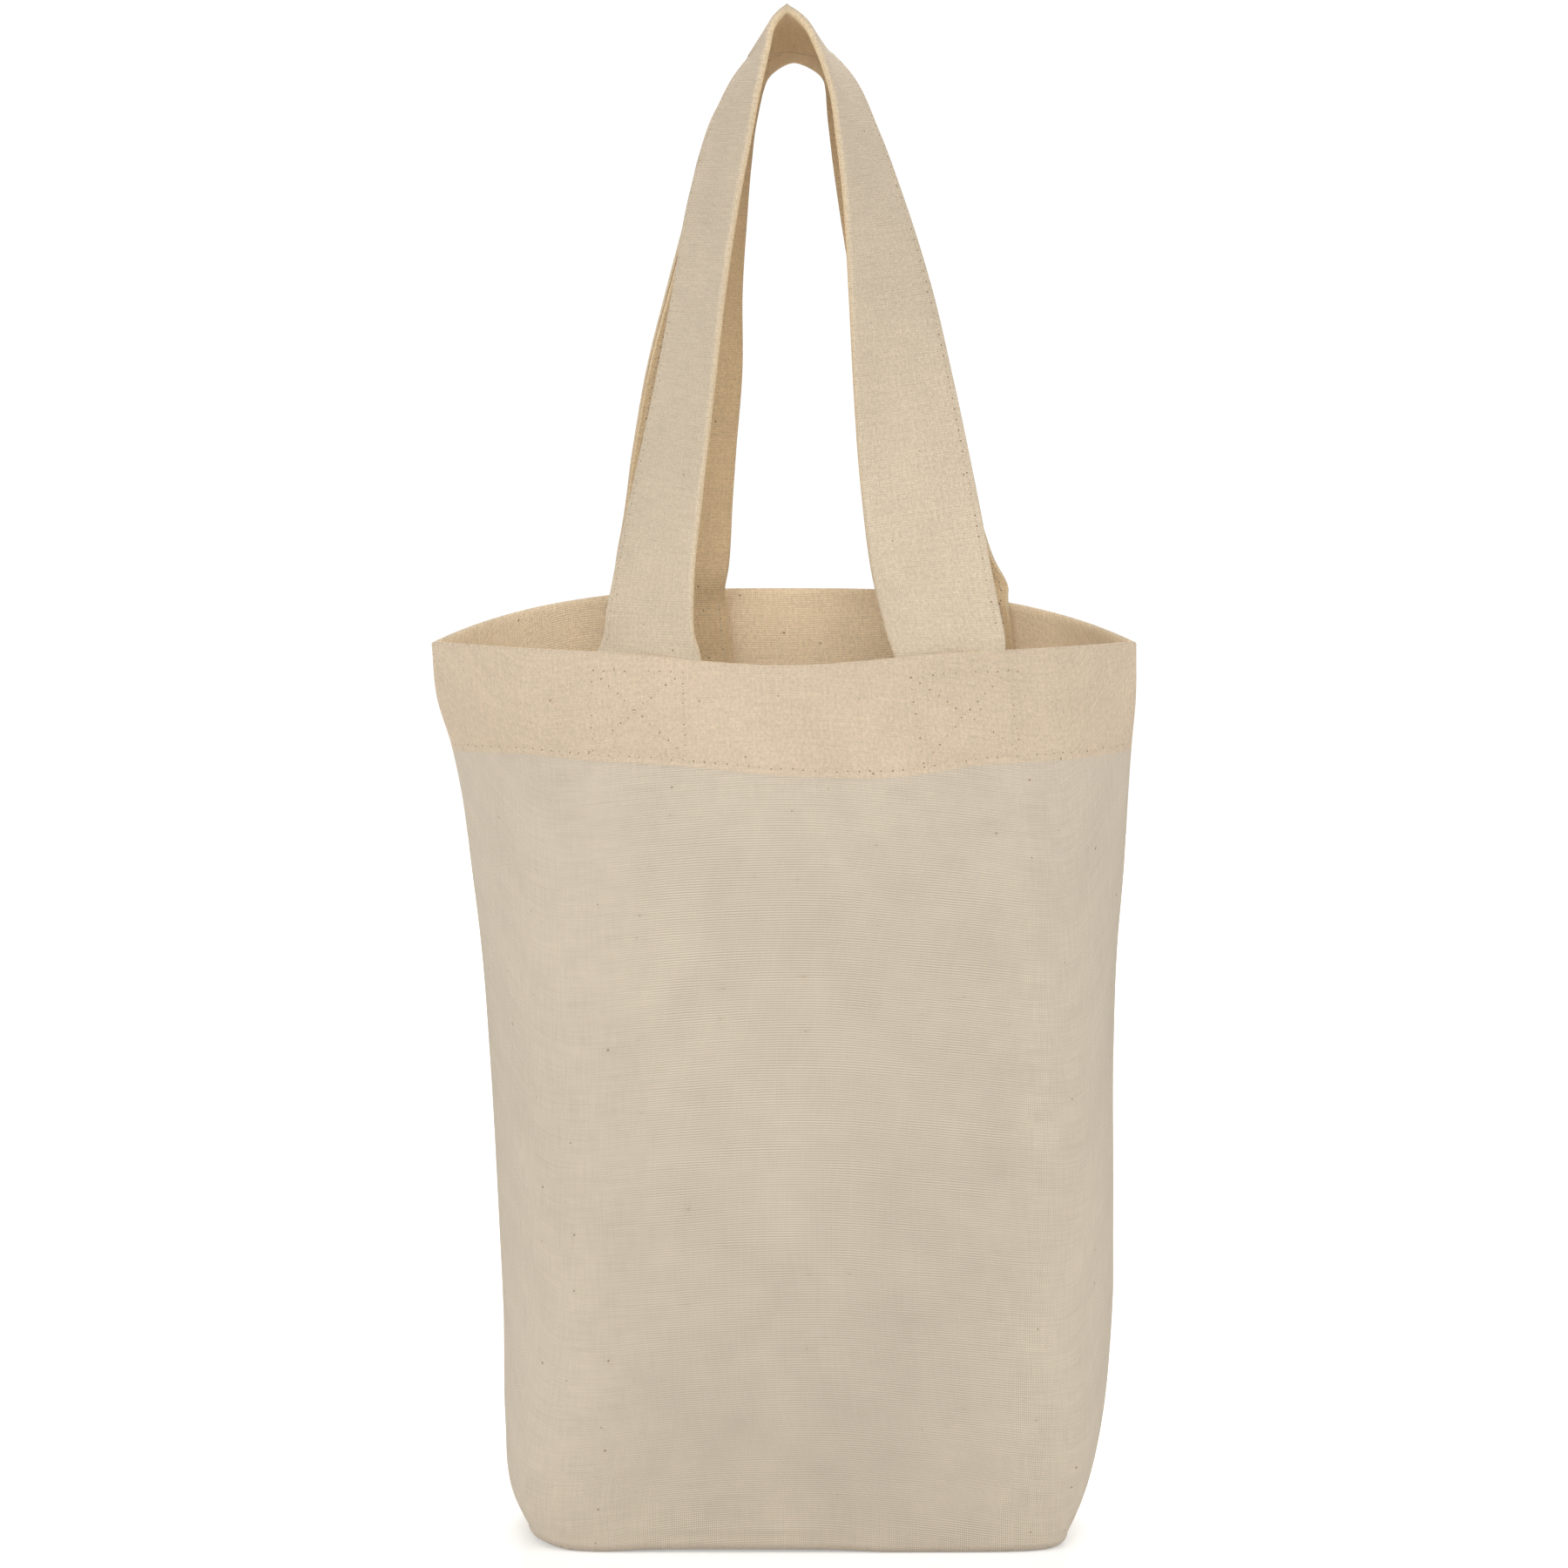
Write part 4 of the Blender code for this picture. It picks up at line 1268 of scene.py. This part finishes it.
# %% Rows of stitches as one mesh
def stitch_mesh(name, starts, ends, outs):
    """Tubes of thread. A tube's middle line runs straight from its start to its end, raised by the arch
    times the sine of half a turn, and sunk by the bury, so that both ends lie under the cloth."""
    t = np.linspace(0, 1, stitch_rings)[None, :, None]
    rise = stitch_arch * np.sin(math.pi * t) - stitch_bury
    line = starts[:, None] + (ends - starts)[:, None] * t + outs[:, None] * rise
    beside = unit(np.cross(ends - starts, outs))
    angles = 2 * math.pi * np.arange(stitch_sides) / stitch_sides - math.pi / 2
    ring = np.cos(angles)[None, :, None] * beside[:, None] + np.sin(angles)[None, :, None] * outs[:, None]
    vertices = (line[:, :, None] + thread_radius * ring[:, None]).reshape(-1, 3)
    index = np.arange(len(vertices)).reshape(len(starts), stitch_rings, stitch_sides)
    after = np.roll(index, -1, axis=2)
    sides = np.stack([index[:, :-1], index[:, 1:], after[:, 1:], after[:, :-1]], axis=-1).reshape(-1, 4)
    faces = [*sides, *index[:, 0], *index[:, -1, ::-1]]
    shape = (len(starts), stitch_rings, stitch_sides)
    u = np.broadcast_to(np.arange(stitch_sides) / stitch_sides, shape)
    run = np.linalg.norm(ends - starts, axis=1)[:, None, None]
    v = np.broadcast_to(t * run, shape)
    piece = cloth_object(name, vertices, faces, np.stack([u, v], axis=-1).reshape(-1, 2), {})
    piece.data.materials.append(thread)
    return piece


def hole_mesh(name, centres, alongs, outs):
    """Flat dark lenses of painted shade for the needle holes: a rim of points round each centre, and one
    point above and one below it.
    """
    alongs = unit(alongs)
    besides = unit(np.cross(outs, alongs))
    angles = 2 * math.pi * np.arange(hole_sides) / hole_sides
    rim = np.cos(angles)[None, :, None] * alongs[:, None] + np.sin(angles)[None, :, None] * besides[:, None]
    rims = centres[:, None] + hole_radius * rim
    tops = centres + hole_proud * outs
    floors = centres - hole_sunk * outs
    vertices = np.concatenate([rims, tops[:, None], floors[:, None]], axis=1).reshape(-1, 3)
    index = np.arange(len(vertices)).reshape(len(centres), hole_sides + 2)
    here, ahead = index[:, :hole_sides], np.roll(index[:, :hole_sides], -1, axis=1)
    top = np.broadcast_to(index[:, hole_sides, None], here.shape)
    floor_point = np.broadcast_to(index[:, hole_sides + 1, None], here.shape)
    faces = np.concatenate(
        [
            np.stack([top, here, ahead], axis=-1).reshape(-1, 3),
            np.stack([floor_point, ahead, here], axis=-1).reshape(-1, 3),
        ]
    )
    piece = cloth_object(name, vertices, faces, vertices[:, :2], {})
    piece.data.materials.append(painted_hole_shade)
    return piece


def sewn(name, rows, seat):
    """Thread and needle holes for a list of rows, each with its starts, its ends and its ways out."""
    starts, ends, outs = (np.concatenate([row[part] for row in rows]) for part in range(3))
    outs = unit(outs)
    pieces = [
        stitch_mesh(name + "_stitches", starts, ends, outs),
        hole_mesh(name + "_hole_shade_lenses", starts, ends - starts, outs),
    ]
    for piece in pieces:
        seat(piece)
    return pieces


# %% Places on a panel
outer_frames = {side: wall_frame(face, side)[0] for side, face in outer_faces.items()}
hem_start = first_wall_row + wall_count + fold_rows


def on_panel(side, u, depth_below, inside=False):
    """Points on a finished panel, and the ways out of it, at distances along it and below its mouth.

    The nearest four points of the panel's grid are blended by how near each is. The hem's inner face is
    the same grid, past the fold, where the way out is turned round.
    """
    if inside:
        row = hem_start + np.interp(depth_below, below[hem_start:], np.arange(len(hem_rows)))
    else:
        wall_below = below[first_wall_row : first_wall_row + wall_count]
        row = first_wall_row + np.interp(-depth_below, -wall_below, np.arange(wall_count))
    low_row = np.clip(row.astype(int), 0, len(below) - 2)
    share = u / panel_half_lengths[side][low_row, 0]
    column = np.interp(share, column_shares, np.arange(len(column_shares)))
    low_column = np.clip(column.astype(int), 0, len(column_shares) - 2)
    up = (row - low_row)[:, None]
    over = (column - low_column)[:, None]

    def blended(field):
        lower, upper = (
            field[row, low_column] * (1 - over) + field[row, low_column + 1] * over
            for row in (low_row, low_row + 1)
        )
        return lower * (1 - up) + upper * up

    return blended(panel_faces[side][0]), blended(outer_frames[side]) * (-1 if inside else 1)


def pitched(corners):
    """Points a stitch apart along straight runs between pairs of corners, as starts and ends."""
    starts, ends = [], []
    for first, second in corners:
        first, second = np.array(first), np.array(second)
        count = max(1, round(float(np.linalg.norm(second - first)) / stitch_pitch))
        points = first + (second - first) * np.linspace(0, 1, count + 1)[:, None]
        points = points + wander.normal(0, stitch_wander, points.shape)
        starts.append(points[:-1])
        ends.append(points[1:])
    return np.concatenate(starts), np.concatenate(ends)


def crossed_box(a, b, c, d):
    """The runs of a stitched box: three sides and both diagonals. The hem's own row is its lowest side."""
    return [(a, b), (b, c), (d, a), (a, c), (b, d)]


# %% Rows of stitches on the bag's body
hem_reach = 0.0805
front_boxes = (
    ((-0.0408, 0.0034), (-0.0213, 0.0023), (-0.0220, 0.0204), (-0.0424, 0.0204)),
    ((0.0264, 0.0036), (0.0479, 0.0037), (0.0488, 0.0205), (0.0275, 0.0205)),
)
back_boxes = (
    ((-0.0372, 0.0035), (-0.0152, 0.0032), (-0.0152, 0.0204), (-0.0372, 0.0204)),
    ((0.0266, 0.0032), (0.0484, 0.0036), (0.0484, 0.0204), (0.0266, 0.0204)),
)
box_margin = 0.0018
box_top = 0.0030


def panel_rows(side, boxes):
    """The hem's row, outside and inside, and the stitched boxes on a panel's outer face."""
    hem_run = [((-hem_reach, hem_stitch_below), (hem_reach, hem_stitch_below))]
    rows = []
    for runs, inside in ((hem_run, False), (hem_run, True), *((crossed_box(*box), False) for box in boxes)):
        starts, ends = pitched(runs)
        (first, outs), (second, _) = (on_panel(side, *points.T, inside) for points in (starts, ends))
        rows.append((first, second, outs))
    return rows


def end_rows(side, leg):
    """The stitched box as it shows inside the bag, on the flat end of a strap."""
    reach = strap_width / 2 - box_margin
    top, foot = -box_top, -(sewn_end_length - box_margin)
    starts, ends = pitched(crossed_box((-reach, top), (reach, top), (reach, foot), (-reach, foot)))

    def places(points):
        grid = hem_line(side, leg, points[:, 0], points[:, 1])
        return grid[np.arange(len(points)), np.arange(len(points))]

    across = places(starts + (normal_ease, 0)) - places(starts - (normal_ease, 0))
    climb = places(starts + (0, normal_ease)) - places(starts - (0, normal_ease))
    outs = unit(np.cross(across, climb))
    outs *= np.sign(-side * outs[:, 1:2])
    lift = outs * strap_thickness / 2
    return places(starts) + lift, places(ends) + lift, outs


def on_body(piece):
    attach(piece, "bag_body")


front_rows = panel_rows(-1, front_boxes)
back_rows = panel_rows(1, back_boxes)
strap_end_rows = [
    end_rows(side, leg)
    for side, leg in ((-1, front_left_leg), (-1, front_right_leg), (1, back_left_leg), (1, back_right_leg))
]
front_sewing = sewn("front_hem", front_rows, on_body)
back_sewing = sewn("back_hem_line", back_rows, on_body)
end_sewing = sewn("strap_end_boxes", strap_end_rows, on_body)


# %% Rows of stitches along ribbons
def ribbon_places(middle, across, step, drawn=None):
    """Points and normals on a ribbon at even steps along it, for each distance across it."""
    surface, normals = surface_and_normals(middle, across)
    if drawn is not None:
        surface = surface + drawn[:, None, :]
    lengths = lengths_along(surface[:, 0])
    place = np.interp(np.arange(step, lengths[-1], step), lengths, np.arange(len(lengths)))
    return between_rows(place, surface, normals)


strap_row_margin = 0.0015


def strap_rows(middle, drawn, outer_sign):
    """The row of stitches that holds the lips of a strap together, on both of its faces."""
    rows = []
    for face in (-1, 1):
        across = [-strap_width / 2 + strap_row_margin]
        drawn_here = drawn if face == outer_sign else None
        points, normals = ribbon_places(middle, across, stitch_pitch, drawn_here)
        outs = face * normals[:, 0]
        seats = points[:, 0] + outs * strap_thickness / 2
        rows.append((seats[:-1], seats[1:], outs[:-1]))
    return rows


front_strap_sewing = sewn(
    "front_strap", strap_rows(front_middle, front_drawn, -1), on_handle()
)
back_strap_sewing = sewn(
    "back_strap", strap_rows(back_middle, back_drawn, 1), on_handle()
)

# %% Overcast edges of the seams
overcast_depth = 0.0035
raw_edge_margin = 0.0002
root_row = 0.0012


def seam_rows(middle):
    """On both faces of a seam: the sewn line near its root, a needle line, and the overcasting thread
    that runs from the needle line to the raw edge and back."""
    raw, needle = -seam_width / 2 + raw_edge_margin, -seam_width / 2 + overcast_depth
    points, normals = ribbon_places(middle, [raw, needle, seam_width / 2 - root_row], stitch_pitch / 2)
    rows = []
    for face in (-1, 1):
        outs = face * normals
        edge, line, root = np.moveaxis(points + outs * seam_thickness / 2, 1, 0)
        edge_outs, line_outs, root_outs = np.moveaxis(outs, 1, 0)
        whole = (len(line) - 1) // 2 * 2
        here, between, ahead = slice(0, whole, 2), slice(1, whole, 2), slice(2, whole + 1, 2)
        rows.append((line[here], line[ahead], line_outs[here]))
        rows.append((root[here], root[ahead], root_outs[here]))
        rows.append((line[here], edge[between], line_outs[here]))
        rows.append((edge[between], line[ahead], edge_outs[between]))
    return rows


seam_sewing = sewn(
    "seam", [row for middle in seam_middles.values() for row in seam_rows(middle)], on_body
)
